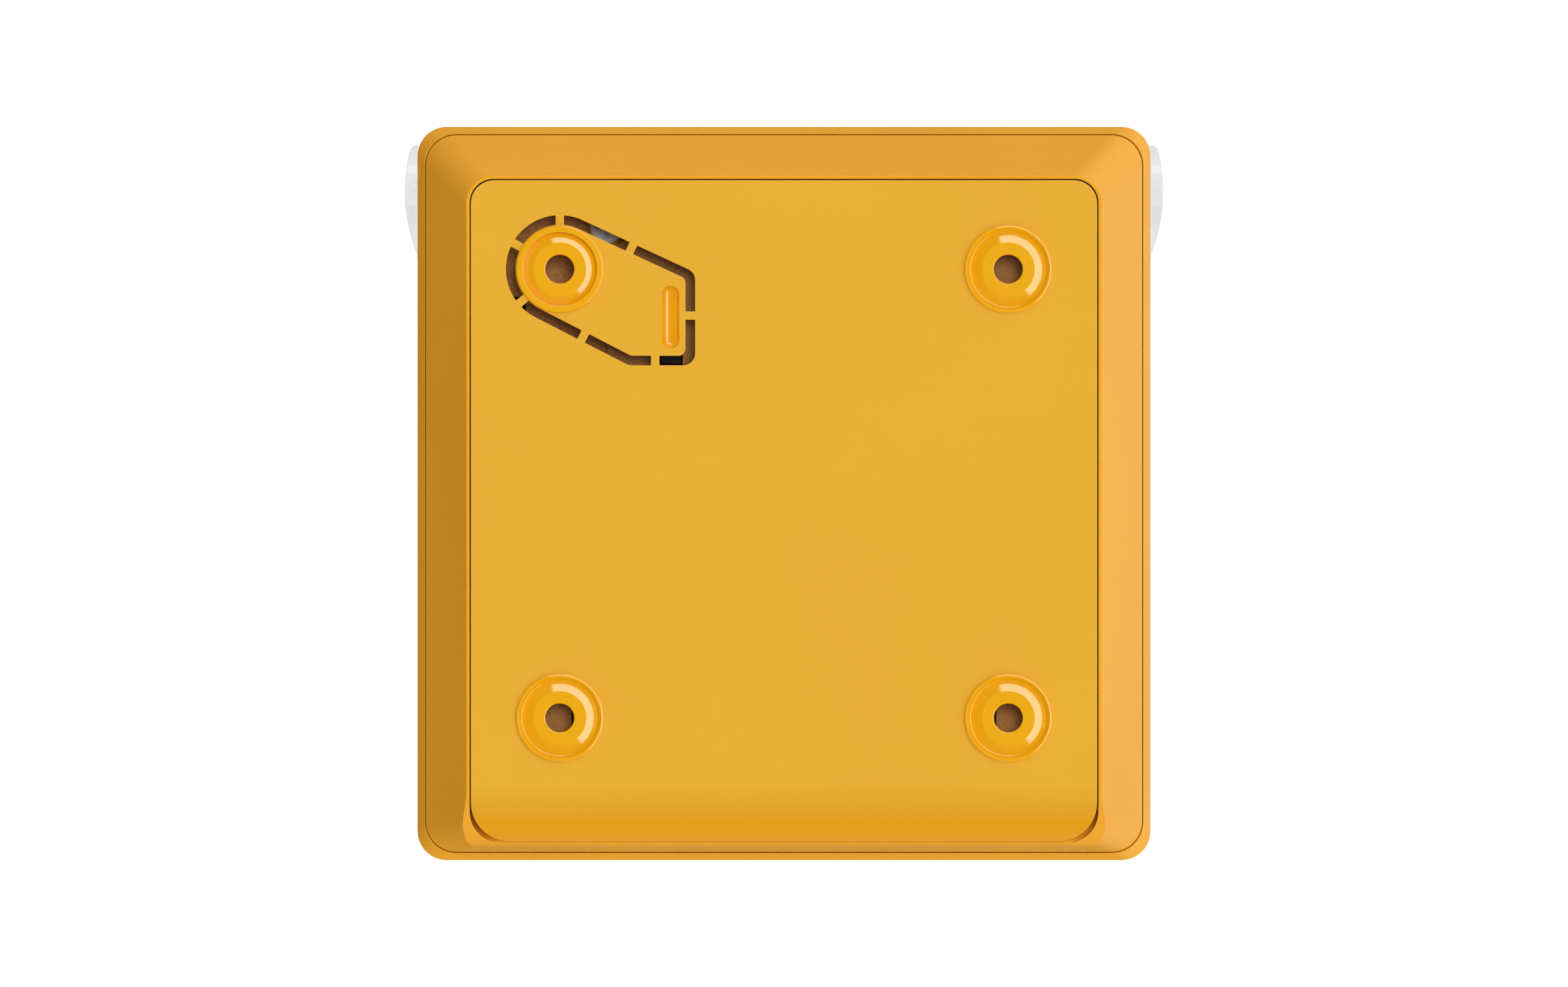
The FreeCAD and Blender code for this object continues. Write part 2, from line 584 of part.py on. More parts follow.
def screw_boss(body, x, z, collared):
    """A boss around a screw hole, with a moat around it and either a bead or a flat collar outside."""
    crest = "dims.collar_flat" if collared else "(dims.bead_peak + 0.05)"
    outside = "dims.collar_radius" if collared else "dims.bead_radius"
    turned(body, x, z, [
        ("0", "dims.moat_floor + 0.2"),
        (outside, "dims.moat_floor + 0.2"),
        (outside, f"1.2 * ({outside} - {crest})"),
        (crest, "0", f"1.2 * ({outside} - {crest})"),
        ("0", "0"),
    ])
    foot = [("dims.boss_ring", "-1"), ("dims.boss_ring", "0"), ("dims.boss_foot", "dims.moat_floor")]
    if collared:
        wall = [("dims.collar_inside", "dims.moat_floor"), ("dims.collar_inside", "-1")]
    else:
        wall = [
            ("dims.moat_radius", "dims.moat_floor - 0.15", "dims.moat_round"),
            ("dims.bead_peak", "0"),
            ("dims.bead_peak", "-1"),
        ]
    turned(body, x, z, foot + wall, cut=True)
    turned(body, x, z, [
        ("0", "-1"), ("0", "dims.lip_end"), ("dims.screw_hole", "dims.lip_end"),
        ("dims.screw_hole", "dims.hole_edge"), ("dims.screw_hole + dims.hole_edge", "0"),
        ("dims.screw_hole + dims.hole_edge", "-1"),
    ], cut=True)


def breakaway_tab(body):
    """The slot all round the tab and the bridges that hold the tab in it."""
    slot = sketch_on(body, "XZ_Plane", "dims.screw_half", "dims.screw_half")
    tab_outline(slot, "0")
    tab_outline(slot, "dims.tab_slot")
    pocket(body, slot, "dims.lip_end + dims.past")
    bars = sketch_on(body, "XZ_Plane", "dims.screw_half", "dims.screw_half", "dims.plate_rear")
    for normal, out, along in BRIDGES:
        bridge(bars, normal, f"({out} - dims.tab_slot / 2)", along)
    pad(body, bars, "dims.bridge_thick")


def tamper_rib(body):
    """The rib that holds the tamper plunger in: solid towards the case, a trough towards the wall."""
    middle = "dims.plate_rear + dims.plate_thick / 2"
    rib = sketch_on(body, "XZ_Plane", "dims.screw_half", "dims.screw_half", middle)
    rounded(rib, "-dims.rib_far - dims.rib_wall", "-dims.rib_near + dims.rib_wall",
            "-dims.rib_low - dims.rib_wall", "-dims.rib_top + dims.rib_wall",
            "dims.trough_corner + dims.rib_wall")
    pad(body, rib, f"dims.rib_depth - ({middle})")
    trough = sketch_on(body, "XZ_Plane", "dims.screw_half", "dims.screw_half")
    rounded(trough, "-dims.rib_far", "-dims.rib_near", "-dims.rib_low", "-dims.rib_top", "dims.trough_corner")
    pocket(body, trough, "dims.trough_floor")
    round_edges_at(body, "dims.trough_floor", "dims.trough_round")


def mounting_plate():
    """The plate that stays on the wall: bosses, break-away tab, tamper rib and clip blades."""
    body = new_body("mounting_plate")
    bent_sheet(body)
    for x, z in WALL_SCREWS:
        screw_boss(body, x, z, (x, z) == WALL_SCREWS[-1])
    breakaway_tab(body)
    tamper_rib(body)
    for sign in (1, -1):
        at_clip(body, sign, "dims.blade_half", "dims.blade_tall", f"{PLATE_FRONT} - 0.5", "dims.blade_end")
    return body


# ---------------------------------------------------------------- case

def section(body, depth, half, radius, low=None):
    """A rounded square section of the case at a depth; low is its bottom where that differs."""
    sketch = sketch_on(body, "XZ_Plane", offset=depth)
    rounded(sketch, f"-({half})", half, f"-({low or half})", half, radius)
    return sketch


def rim_ring(body, outer, inner, start, end, cut=False):
    """A ring that follows the parting line, between two distances inside it."""
    ring = sketch_on(body, "XZ_Plane", offset=start)
    square(ring, f"dims.parting_half - ({outer})", f"dims.parting_corner - ({outer})")
    square(ring, f"dims.parting_half - ({inner})", f"dims.parting_corner - ({inner})")
    make = pocket if cut else pad
    return make(body, ring, f"({end}) - ({start})")


def rear_housing():
    """The tapered tray at the back of the case, with the recess for the mounting plate."""
    body = new_body("rear_housing")
    near = section(body, "dims.rear_depth", "dims.rear_half", "dims.rear_corner", "dims.rear_bottom")
    far = section(body, "dims.parting_depth", "dims.parting_half", "dims.parting_corner")
    loft(body, near, far)

    bend = sketch_on(body, "YZ_Plane")
    outline(bend, [
        ("0", f"-{BEND_Z}"),
        ("-dims.rear_depth", f"-{BEND_Z}"),
        (f"-{BEND_END_DEPTH}", f"-{BEND_END_Z}", "-dims.bend_radius"),
        (f"-{BEND_END_DEPTH}", "-dims.widest_half"),
        ("0", "-dims.widest_half"),
    ])
    pocket(body, bend, "4 * dims.widest_half", both_ways=True)

    near = section(body, "dims.inner_floor", "dims.rear_half + 0.5", "dims.inner_corner",
                   "dims.rear_bottom - 2")
    far = section(body, "dims.parting_depth", INNER_HALF, "dims.inner_corner")
    loft(body, near, far, cut=True)

    recess = sketch_on(body, "XZ_Plane")
    rounded(recess, "-dims.recess_half", "dims.recess_half", "-dims.recess_bottom", "dims.recess_half",
            "dims.recess_corner", "dims.recess_low_corner")
    pocket(body, recess, "dims.recess_floor")
    block(body, "dims.relief_x", "dims.recess_half - 3", "dims.relief_low", "dims.recess_half - 3",
          "dims.recess_floor - dims.past", "dims.relief_floor", cut=True)

    cylinders(body, CASE_SCREWS, "dims.post", "dims.inner_floor - 0.3", "dims.parting_depth")
    cylinders(body, CASE_SCREWS, "dims.sink_radius", "0", "dims.screw_seat", cut=True)
    cylinders(body, CASE_SCREWS, "dims.screw_shank + dims.screw_gap", "0", "dims.widest_depth", cut=True)

    # pockets for the spring clips
    inside = "dims.blade_half + dims.clip_sheet + 2 * dims.slide_gap"
    for sign in (1, -1):
        at_clip(body, sign, f"{inside} + dims.clip_wall", "dims.blade_tall + dims.clip_wall + 0.2",
                "dims.recess_floor", "dims.clip_front + dims.clip_wall + 0.2")
        at_clip(body, sign, inside, "dims.blade_tall + 0.2", "0", "dims.clip_front + 0.2", cut=True)

    # cable opening, and the window for the tamper plunger
    block(body, "dims.cable_x", "dims.cable_x + dims.cable_wide", "dims.cable_top - dims.cable_tall",
          "dims.cable_top", "0", "dims.inner_floor + dims.past", cut=True)
    block(body, "dims.tamper_x - dims.window_w / 2", "dims.tamper_x + dims.window_w / 2",
          "dims.tamper_z - dims.window_tall / 2", "dims.tamper_z + dims.window_tall / 2",
          "0", "dims.inner_floor + dims.past", cut=True)
    rim_ring(body, "dims.seal_at", "dims.seal_at + dims.seal_wide",
             "dims.parting_depth - dims.past", "dims.parting_depth", cut=True)
    return body


def front_housing():
    """The deep front shell with its posts, the bezel's seat and the bores for the cover's pins."""
    body = new_body("front_housing")
    lip_half = "dims.parting_half + dims.slit + dims.slit_lip"
    start = section(body, "dims.parting_depth + dims.parting_gap", lip_half, "dims.parting_corner")
    widest = section(body, "dims.widest_depth", "dims.widest_half", "dims.widest_corner")
    loft(body, start, widest)
    widest = section(body, "dims.widest_depth", "dims.widest_half", "dims.widest_corner")
    front = section(body, "dims.front_depth", "dims.front_half", "dims.widest_corner")
    loft(body, widest, front)
    round_edges_at(body, "dims.front_depth", "dims.front_round")

    # a slit behind the outer lip, beside the land that meets the rear housing
    rim_ring(body, "-dims.slit", "dims.land", "dims.parting_depth", "dims.slit_floor", cut=True)
    land = section(body, "dims.parting_depth", "dims.parting_half - dims.land",
                   "dims.parting_corner - dims.land")
    pad(body, land, "dims.parting_gap")
    cavity = section(body, "dims.parting_depth", INNER_HALF, "dims.inner_corner")
    pocket(body, cavity, f"{FRONT_INSIDE} - dims.parting_depth")
    rim_ring(body, "dims.seal_at", "dims.seal_at + dims.seal_wide",
             "dims.parting_depth", "dims.parting_depth + 0.5", cut=True)

    seat = section(body, "dims.bezel_seat", "dims.bezel_half + dims.slide_gap", "dims.bezel_corner")
    pocket(body, seat, "dims.front_depth - dims.bezel_seat")
    opening = section(body, FRONT_INSIDE, "dims.bezel_opening + 0.4", "2")
    pocket(body, opening, f"dims.front_depth - {FRONT_INSIDE}")
    cylinders(body, [("0", "dims.light_z")], "dims.light_radius + dims.slide_gap",
              FRONT_INSIDE, "dims.front_depth", cut=True)

    into_wall = f"({FRONT_INSIDE} + 0.3)"
    cylinders(body, CASE_SCREWS, "dims.post", "dims.parting_depth", into_wall)
    cylinders(body, BOARD_SCREWS, "dims.post - 0.8", BOARD_FRONT, into_wall)
    cylinders(body, CHASSIS_SCREWS, "dims.post - 0.4", CHASSIS_FRONT, into_wall)
    cylinders(body, CASE_SCREWS, "dims.screw_shank", "dims.parting_depth", "dims.parting_depth + 10", cut=True)
    cylinders(body, BOARD_SCREWS, "dims.screw_shank", BOARD_FRONT, f"{BOARD_FRONT} + 6", cut=True)
    cylinders(body, CHASSIS_SCREWS, "dims.screw_shank", CHASSIS_FRONT, f"{CHASSIS_FRONT} + 4", cut=True)

    # bosses and bores for the cover's pins
    boss = "dims.hinge_boss"
    outside = f"{INNER_HALF} + 0.5"
    for left, right in (("dims.pin_inside - 0.4", outside), (f"-({outside})", "-(dims.pin_inside - 0.4)")):
        block(body, left, right, f"dims.pivot_z - {boss}", f"dims.pivot_z + {boss}",
              f"dims.pivot_depth - {boss}", f"dims.pivot_depth + {boss}")
    bore = sketch_on(body, "YZ_Plane")
    circle(bore, "-dims.pivot_depth", "dims.pivot_z", "dims.pivot_radius")
    pocket(body, bore, "4 * dims.widest_half", both_ways=True)
    return body


def housing_seal():
    """The rubber ring between the two housings."""
    body = new_body("housing_seal")
    rim_ring(body, "dims.seal_at + dims.seal_gap", "dims.seal_at + dims.seal_wide - dims.seal_gap",
             "dims.parting_depth - 0.95", "dims.parting_depth + 0.45")
    return body


def cross_corners(x, z, reach):
    """The twelve corners of a cross recess about a screw's axis."""
    thin = "dims.cross_half"
    arm = [(thin, reach), (f"-{thin}", reach), (f"-{thin}", thin)]
    corners = []
    for _ in range(4):
        corners += [(f"{x} + {u}", f"{z} + {v}") for u, v in arm]
        arm = [(f"-({v})", u) for u, v in arm]
    return corners


def screws(label, centres, seat, head_radius, head_thick, shank_long):
    """A group of equal cross-recess screws that point away from the wall."""
    body = new_body(label)
    top = f"({seat} - {head_thick})"
    tip = f"({seat} + {shank_long})"
    for x, z in centres:
        turned(body, x, z, [
            ("0", top), (f"{head_radius} - dims.head_edge", top),
            (head_radius, f"{top} + 1.3 * dims.head_edge", "-1.8 * dims.head_edge"),
            (head_radius, seat), ("dims.screw_shank", seat),
            ("dims.screw_shank", f"{tip} - 0.8"), ("0.45", tip), ("0", tip),
        ])
    cross = sketch_on(body, "XZ_Plane", offset=top)
    for x, z in centres:
        outline(cross, cross_corners(x, z, f"(dims.cross_reach * {head_radius})"))
    pocket(body, cross, f"0.6 * {head_thick}")
    return body


def retaining_clips():
    """Two U-shaped spring clips in the case that grip the mounting plate's blades."""
    body = new_body("retaining_clips")
    inside = "dims.blade_half + dims.slide_gap"
    for sign in (1, -1):
        at_clip(body, sign, f"{inside} + dims.clip_sheet", "dims.blade_tall",
                "dims.recess_floor + 0.3", "dims.clip_front")
        at_clip(body, sign, inside, "dims.blade_tall + dims.past",
                "dims.recess_floor - dims.past", "dims.clip_front - dims.clip_sheet", cut=True)
    return body


# ---------------------------------------------------------------- front and push mechanism

def front_bezel():
    """The square frame around the push plate."""
    body = new_body("front_bezel")
    frame = sketch_on(body, "XZ_Plane", offset="dims.bezel_seat")
    square(frame, "dims.bezel_half", "dims.bezel_corner")
    square(frame, "dims.bezel_opening", "dims.push_corner + 0.2")
    pad(body, frame, "dims.bezel_front - dims.bezel_seat")
    narrow = sketch_on(body, "XZ_Plane", offset="dims.bezel_front - dims.bezel_slope_deep")
    square(narrow, "dims.bezel_opening", "dims.push_corner + 0.2")
    wide = sketch_on(body, "XZ_Plane", offset="dims.bezel_front")
    square(wide, "dims.bezel_opening + dims.bezel_slope", "dims.push_corner + 0.2 + dims.bezel_slope")
    loft(body, narrow, wide, cut=True)
    return body


def push_plate():
    """The operating plate with its guide pins, spring seats and the stem that works the switch lever."""
    body = new_body("push_plate")
    face = sketch_on(body, "XZ_Plane", offset=PUSH_REAR)
    square(face, "dims.push_half", "dims.push_corner")
    pad(body, face, "dims.push_thick")
    cylinders(body, GUIDE_PINS, "dims.seat_outside", SPRING_FRONT, f"{PUSH_REAR} + dims.bite")
    cylinders(body, GUIDE_PINS, "dims.seat_inside", f"{SPRING_FRONT} - dims.past", PUSH_REAR, cut=True)
    cylinders(body, GUIDE_PINS, "dims.pin_radius", "dims.pin_rear", f"{PUSH_REAR} + dims.bite")
    stem = [("-dims.stem_x", "0")]
    cylinders(body, stem, "dims.stem_radius", "dims.stem_rear", f"{PUSH_REAR} + dims.bite")
    cylinders(body, stem, "dims.stem_radius + 1", "dims.stem_rear + 2", f"{PUSH_REAR} + dims.bite")
    return body


def press_symbol():
    """A plain disc between two arrowheads that point at it, standing on the push plate."""
    body = new_body("press_symbol")
    mark = sketch_on(body, "XZ_Plane", offset="dims.push_front")
    circle(mark, "0", "0", "dims.disc")
    for sign in (1, -1):
        outline(mark, [
            (f"{sign} * dims.arrow_tip", "0"),
            (f"{sign} * dims.arrow_base", "dims.arrow_half"),
            (f"{sign} * dims.arrow_base", "-dims.arrow_half"),
        ])
    pad(body, mark, "dims.mark_thick")
    return body


def button_chassis():
    """The carrier behind the push plate, with a guide sleeve for each pin."""
    body = new_body("button_chassis")
    plate = sketch_on(body, "XZ_Plane", offset="dims.chassis_rear")
    rounded(plate, "-dims.chassis_half", "dims.chassis_half", "-dims.chassis_tall", "dims.chassis_tall", "3")
    pad(body, plate, "dims.chassis_thick")
    cylinders(body, GUIDE_PINS, "dims.sleeve_radius", "dims.sleeve_rear", "dims.sleeve_front")
    cylinders(body, GUIDE_PINS, "dims.pin_radius + dims.slide_gap", "dims.sleeve_rear - dims.past",
              "dims.sleeve_front + dims.past", cut=True)
    cylinders(body, CHASSIS_SCREWS, "dims.screw_shank + dims.screw_gap", "dims.chassis_rear - dims.past",
              f"{CHASSIS_FRONT} + dims.past", cut=True)
    block(body, "-dims.switch_half - 3", "dims.switch_half + 2", "-dims.switch_thick - 1.6",
          "dims.switch_thick + 1.6", "dims.chassis_rear - dims.past",
          f"{CHASSIS_FRONT} + dims.past", cut=True)
    return body


def coil(body, x, z, start, end, mean, wire, turns):
    """A coil spring square to the wall, whose wire keeps inside the two depths."""
    ring = sketch_on(body, "XY_Plane", x, "0", z)
    circle(ring, mean, f"-({start} + {wire} + 0.02)", wire)
    helix = body.newObject("PartDesign::AdditiveHelix", body.Label + "_helix")
    helix.Profile = ring
    helix.ReferenceAxis = (ring, ["V_Axis"])
    helix.Mode = "height-turns-angle"
    helix.setExpression("Height", f"{end} - ({start}) - 2 * {wire} - 0.04")
    helix.setExpression("Turns", turns)
    helix.Reversed = True
    return helix


def return_springs():
    """Four coil springs around the guide sleeves."""
    body = new_body("return_springs")
    for x, z in GUIDE_PINS:
        coil(body, x, z, CHASSIS_FRONT, SPRING_FRONT,
             "dims.spring_radius", "dims.spring_wire", "dims.spring_turns")
    return body


def switch_body():
    """The small lever switch on the board, with ears for the lever's pin."""
    body = new_body("switch_body")
    block(body, "-dims.switch_half", "dims.switch_half", "-dims.switch_thick", "dims.switch_thick",
          BOARD_FRONT, "dims.switch_front")
    inside = "dims.lever_half + 0.2"
    for low, high in (("-dims.lever_ears", f"-({inside})"), (inside, "dims.lever_ears")):
        block(body, "dims.lever_x - dims.lever_eye", "dims.lever_x + dims.lever_eye", low, high,
              "dims.switch_front - 0.3", "dims.lever_depth + dims.lever_eye")
    bore = sketch_on(body, "XY_Plane")
    circle(bore, "dims.lever_x", "-dims.lever_depth", "dims.lever_pin")
    pocket(body, bore, "2 * dims.lever_ears + dims.past", both_ways=True)
    relief = sketch_on(body, "XY_Plane")
    circle(relief, "dims.lever_x", "-dims.lever_depth", "dims.lever_eye + 0.1")
    pocket(body, relief, f"2 * ({inside})", both_ways=True)
    cylinders(body, [("dims.plunger_x", "0")], "dims.plunger_radius + dims.slide_gap",
              "dims.plunger_rear - 0.9", "dims.switch_front", cut=True)
    return body


def switch_lever():
    """The sheet-metal lever between the push stem and the switch's plunger."""
    body = new_body("switch_lever")
    strip = sketch_on(body, "XY_Plane")
    turn, half = "dims.lever_angle", "dims.lever_thick / 2"
    outline(strip, [
        (f"dims.lever_x - {along} * cos({turn}) - {across} * sin({turn})",
         f"-(dims.lever_depth + {along} * sin({turn}) - {across} * cos({turn}))")
        for along, across in (("0.3", half), ("dims.lever_long", half),
                              ("dims.lever_long", f"-{half}"), ("0.3", f"-{half}"))
    ])
    strip_pad = pad(body, strip, "2 * dims.lever_half")
    strip_pad.SideType = "Symmetric"
    eye = sketch_on(body, "XY_Plane")
    circle(eye, "dims.lever_x", "-dims.lever_depth", "dims.lever_eye")
    eye_pad = pad(body, eye, "2 * dims.lever_half")
    eye_pad.SideType = "Symmetric"
    bore = sketch_on(body, "XY_Plane")
    circle(bore, "dims.lever_x", "-dims.lever_depth", "dims.lever_pin + dims.slide_gap")
    pocket(body, bore, "4 * dims.lever_half", both_ways=True)
    return body


def lever_pin():
    """The pin of the switch lever."""
    body = new_body("lever_pin")
    pin = sketch_on(body, "XY_Plane")
    circle(pin, "dims.lever_x", "-dims.lever_depth", "dims.lever_pin")
    pin_pad = pad(body, pin, "2 * dims.lever_ears")
    pin_pad.SideType = "Symmetric"
    return body


def switch_plunger():
    """The plunger that the lever presses into the switch."""
    body = new_body("switch_plunger")
    cylinders(body, [("dims.plunger_x", "0")], "dims.plunger_radius", "dims.plunger_rear", "dims.plunger_front")
    return body


# ---------------------------------------------------------------- electronics

def circuit_board():
    """The board, with clearance holes for the case posts."""
    body = new_body("circuit_board")
    face = section(body, "dims.board_rear", "dims.board_half", "dims.widest_corner")
    pad(body, face, "dims.board_thick")
    through = ("dims.board_rear - dims.past", f"{BOARD_FRONT} + dims.past")
    cylinders(body, CASE_SCREWS, "dims.post + 0.3", *through, cut=True)
    cylinders(body, BOARD_SCREWS, "dims.screw_shank + dims.screw_gap", *through, cut=True)
    return body


def radio_module():
    """The shielded radio on the rear of the board; its antenna end has no shield."""
    body = new_body("radio_module")
    left, right = "-dims.module_x - dims.module_wide", "-dims.module_x + dims.module_wide"
    low, high = "-dims.module_z - dims.module_tall", "-dims.module_z + dims.module_tall"
    module_rear = "(dims.board_rear - dims.module_board)"
    block(body, left, right, low, high, module_rear, "dims.board_rear")
    block(body, f"{left} + 0.6", f"{right} - 3", f"{low} + 0.6", f"{high} - 0.6",
          f"{module_rear} - dims.shield_thick", f"{module_rear} + 0.1")
    return body


def antenna():
    """A wire antenna that leaves the board, bends and runs up along it."""
    body = new_body("antenna")
    path = sketch_on(body, "YZ_Plane", offset="dims.antenna_x")
    outline(path, [
        ("-dims.board_rear", "dims.antenna_foot"),
        ("-dims.board_rear + dims.antenna_gap - dims.antenna_bend", "dims.antenna_foot"),
        ("-dims.board_rear + dims.antenna_gap", "dims.antenna_foot + dims.antenna_bend", "dims.antenna_bend"),
        ("-dims.board_rear + dims.antenna_gap", "dims.antenna_top"),
    ], closed=False)
    ring = sketch_on(body, "XZ_Plane", offset="dims.board_rear")
    circle(ring, "dims.antenna_x", "dims.antenna_foot", "dims.antenna_wire")
    pipe = body.newObject("PartDesign::AdditivePipe", "antenna_pipe")
    pipe.Profile = ring
    pipe.Spine = path
    return body


def status_led():
    """The light source of the status light."""
    body = new_body("status_led")
    block(body, "-dims.led_half", "dims.led_half", "dims.light_z - dims.led_half",
          "dims.light_z + dims.led_half", BOARD_FRONT, f"{BOARD_FRONT} + dims.led_thick")
    return body


def status_lens():
    """The light guide from the board to the front, with a collar behind the front wall."""
    body = new_body("status_lens")
    rear = f"({BOARD_FRONT} + dims.led_thick + 0.4)"
    guide, collar = "dims.light_radius - 0.3", "dims.light_radius + 1"
    collar_rear = f"({FRONT_INSIDE} - 1.2)"
    turned(body, "0", "dims.light_z", [
        ("0", rear), (guide, rear), (guide, collar_rear), (collar, collar_rear),
        (collar, FRONT_INSIDE), ("dims.light_radius", FRONT_INSIDE), ("dims.light_radius", "dims.front_depth"),
        ("dims.light_radius - 0.5", "dims.front_depth + 0.5", "-0.5"), ("0", "dims.front_depth + 0.5"),
    ])
    return body


def tamper_switch():
    """The switch that reports that the case has left its plate."""
    body = new_body("tamper_switch")
    half = "dims.tamper_switch_half"
    block(body, f"dims.tamper_x - {half}", f"dims.tamper_x + {half}",
          f"dims.tamper_z - {half}", f"dims.tamper_z + {half}", "dims.tamper_switch_rear", "dims.board_rear")
    cylinders(body, [("dims.tamper_x", "dims.tamper_z")], "dims.tamper_stem + 0.1",
              "dims.tamper_switch_rear", "dims.board_rear - 3", cut=True)
    return body


def tamper_plunger():
    """The sprung blade that reaches through the window to the plate's rib."""
    body = new_body("tamper_plunger")
    half, tall = "(dims.window_w / 2 - dims.window_gap)", "(dims.window_tall / 2 - dims.window_gap)"
    block(body, f"dims.tamper_x - {half}", f"dims.tamper_x + {half}",
          f"dims.tamper_z - {tall}", f"dims.tamper_z + {tall}",
          "dims.rib_depth + 0.1", "dims.tamper_flange + 0.4")
    half, tall = "dims.tamper_flange_half", "dims.tamper_flange_tall"
    flange_front = "(dims.tamper_flange + dims.tamper_flange_thick)"
    block(body, f"dims.tamper_x - {half}", f"dims.tamper_x + {half}",
          f"dims.tamper_z - {tall}", f"dims.tamper_z + {tall}", "dims.tamper_flange", flange_front)
    cylinders(body, [("dims.tamper_x", "dims.tamper_z")], "dims.tamper_stem",
              f"{flange_front} - dims.bite", "dims.tamper_stem_end")
    return body


def tamper_spring():
    """The coil that pushes the tamper plunger out."""
    body = new_body("tamper_spring")
    coil(body, "dims.tamper_x", "dims.tamper_z", "dims.tamper_flange + dims.tamper_flange_thick",
         "dims.tamper_switch_rear", "dims.tamper_coil", "dims.tamper_wire", "5")
    return body


def battery_holder():
    """An open tray for two cells end to end."""
    body = new_body("battery_holder")
    half_long = "(dims.cell_long + 4)"
    half_wide = "(dims.cell_radius + dims.tray_wall)"
    inside_long = "(dims.cell_long + 2.5)"
    block(body, f"-{half_long}", half_long, f"-{half_wide}", half_wide, "dims.inner_floor", "dims.tray_front")
    saddle = sketch_on(body, "YZ_Plane")
    circle(saddle, "-dims.cell_depth", "0", "dims.cell_radius + 0.15")
    pocket(body, saddle, f"2 * {inside_long}", both_ways=True)
    block(body, f"-{inside_long}", inside_long, "-dims.cell_radius + 0.5", "dims.cell_radius - 0.5",
          "dims.cell_depth", "dims.tray_front + dims.past", cut=True)
    return body


def battery_cells():
    """Two lithium cells, end to end."""
    body = new_body("battery_cells")
    for way in (1, -1):
        can = sketch_on(body, "YZ_Plane", offset=f"{way} * 1")
        circle(can, "-dims.cell_depth", "0", "dims.cell_radius")
        pad(body, can, "dims.cell_long - 1", to_wall=way < 0)
        tip = sketch_on(body, "YZ_Plane", offset=f"{way} * dims.cell_long")
        circle(tip, "-dims.cell_depth", "0", "dims.cell_tip")
        pad(body, tip, "1", to_wall=way < 0)
    return body


def battery_contacts():
    """Sheet contacts at both ends and between the cells."""
    body = new_body("battery_contacts")
    half = "dims.contact_half"
    at_end = "(dims.cell_long + 1.5)"
    for x in (at_end, f"-{at_end}", "0"):
        block(body, f"{x} - dims.contact_sheet / 2", f"{x} + dims.contact_sheet / 2", f"-{half}", half,
              f"dims.cell_depth - {half}", f"dims.cell_depth + {half}")
    return body


# ---------------------------------------------------------------- protective cover

def cover_ear(body, sign):
    """One ear of the cover, straight on the inside and crowned on the outside."""
    ear = sketch_on(body, "XZ_Plane", offset="dims.pivot_depth - dims.ear_round")
    crown = f"{sign} * dims.ear_crown"
    outline(ear, [
        (f"{sign} * dims.ear_inside", "dims.ear_bottom"),
        (f"{sign} * (dims.ear_inside + 0.02)", "dims.ear_bottom"),
        (f"{sign} * dims.ear_outside", "dims.pivot_z", crown),
        (f"{sign} * (dims.ear_outside - 0.6)", "dims.pivot_z + dims.ear_round - 1", crown),
        (f"{sign} * (dims.ear_outside - 1.5)", "dims.pivot_z + dims.ear_round", f"{sign} * 1.1"),
        (f"{sign} * dims.ear_inside", "dims.pivot_z + dims.ear_round"),
    ])
    pad(body, ear, "dims.lid_front - dims.pivot_depth + dims.ear_round")


def protective_cover():
    """The clear flip-up lid with an ear on each side."""
    body = new_body("protective_cover")
    lid = sketch_on(body, "XZ_Plane", offset="dims.lid_rear")
    rounded(lid, "-dims.front_half", "dims.front_half", "-dims.front_half", "dims.lid_top", "dims.lid_corner")
    pad(body, lid, "dims.lid_front - dims.lid_rear")
    cover_ear(body, 1)
    cover_ear(body, -1)
    block(body, "-dims.ear_inside - 0.3", "dims.ear_inside + 0.3", "dims.ear_bottom", "dims.lid_top",
          "dims.lid_rear", "dims.lid_front")

    hollow = sketch_on(body, "XZ_Plane", offset="dims.lid_rear - dims.past")
    inside = "(dims.front_half - dims.lid_wall)"
    rounded(hollow, f"-{inside}", inside, f"-{inside}", "dims.lid_top - dims.lid_wall",
            "dims.lid_corner - dims.lid_wall")
    pocket(body, hollow, "dims.lid_inside - dims.lid_rear + dims.past")

    # side view of the ears: round about the hinge, running down to the lid
    trim = sketch_on(body, "YZ_Plane")
    outline(trim, [
        ("-dims.pivot_depth + dims.ear_round * cos(dims.ear_under)",
         "dims.pivot_z - dims.ear_round * sin(dims.ear_under)"),
        ("-dims.pivot_depth", "dims.pivot_z + dims.ear_round", "dims.ear_round"),
        ("-dims.lid_front - dims.past", "dims.lid_top"),
        ("-dims.lid_front - dims.past", "dims.pivot_z + 2 * dims.ear_round"),
        ("-dims.pivot_depth + 2 * dims.ear_round", "dims.pivot_z + 2 * dims.ear_round"),
        ("-dims.pivot_depth + 2 * dims.ear_round", "dims.ear_bottom - 1"),
        ("-dims.lid_rear - 0.5", "dims.ear_bottom - 1"),
        ("-dims.lid_rear - 0.5", "dims.ear_bottom"),
    ])
    pocket(body, trim, "4 * dims.widest_half", both_ways=True)

    holes = sketch_on(body, "YZ_Plane")
    circle(holes, "-dims.pivot_depth", "dims.pivot_z", "dims.pivot_radius + dims.slide_gap")
    pocket(body, holes, "2 * (dims.ear_inside + 1.1)", both_ways=True)

    tab = sketch_on(body, "XZ_Plane", offset="dims.lid_front - 0.5")
    rounded(tab, "-dims.finger_half", "dims.finger_half", "-dims.front_half",
            "-dims.front_half + dims.finger_tall", "1.2")
    pad(body, tab, "dims.finger_reach + 0.5")
    return body


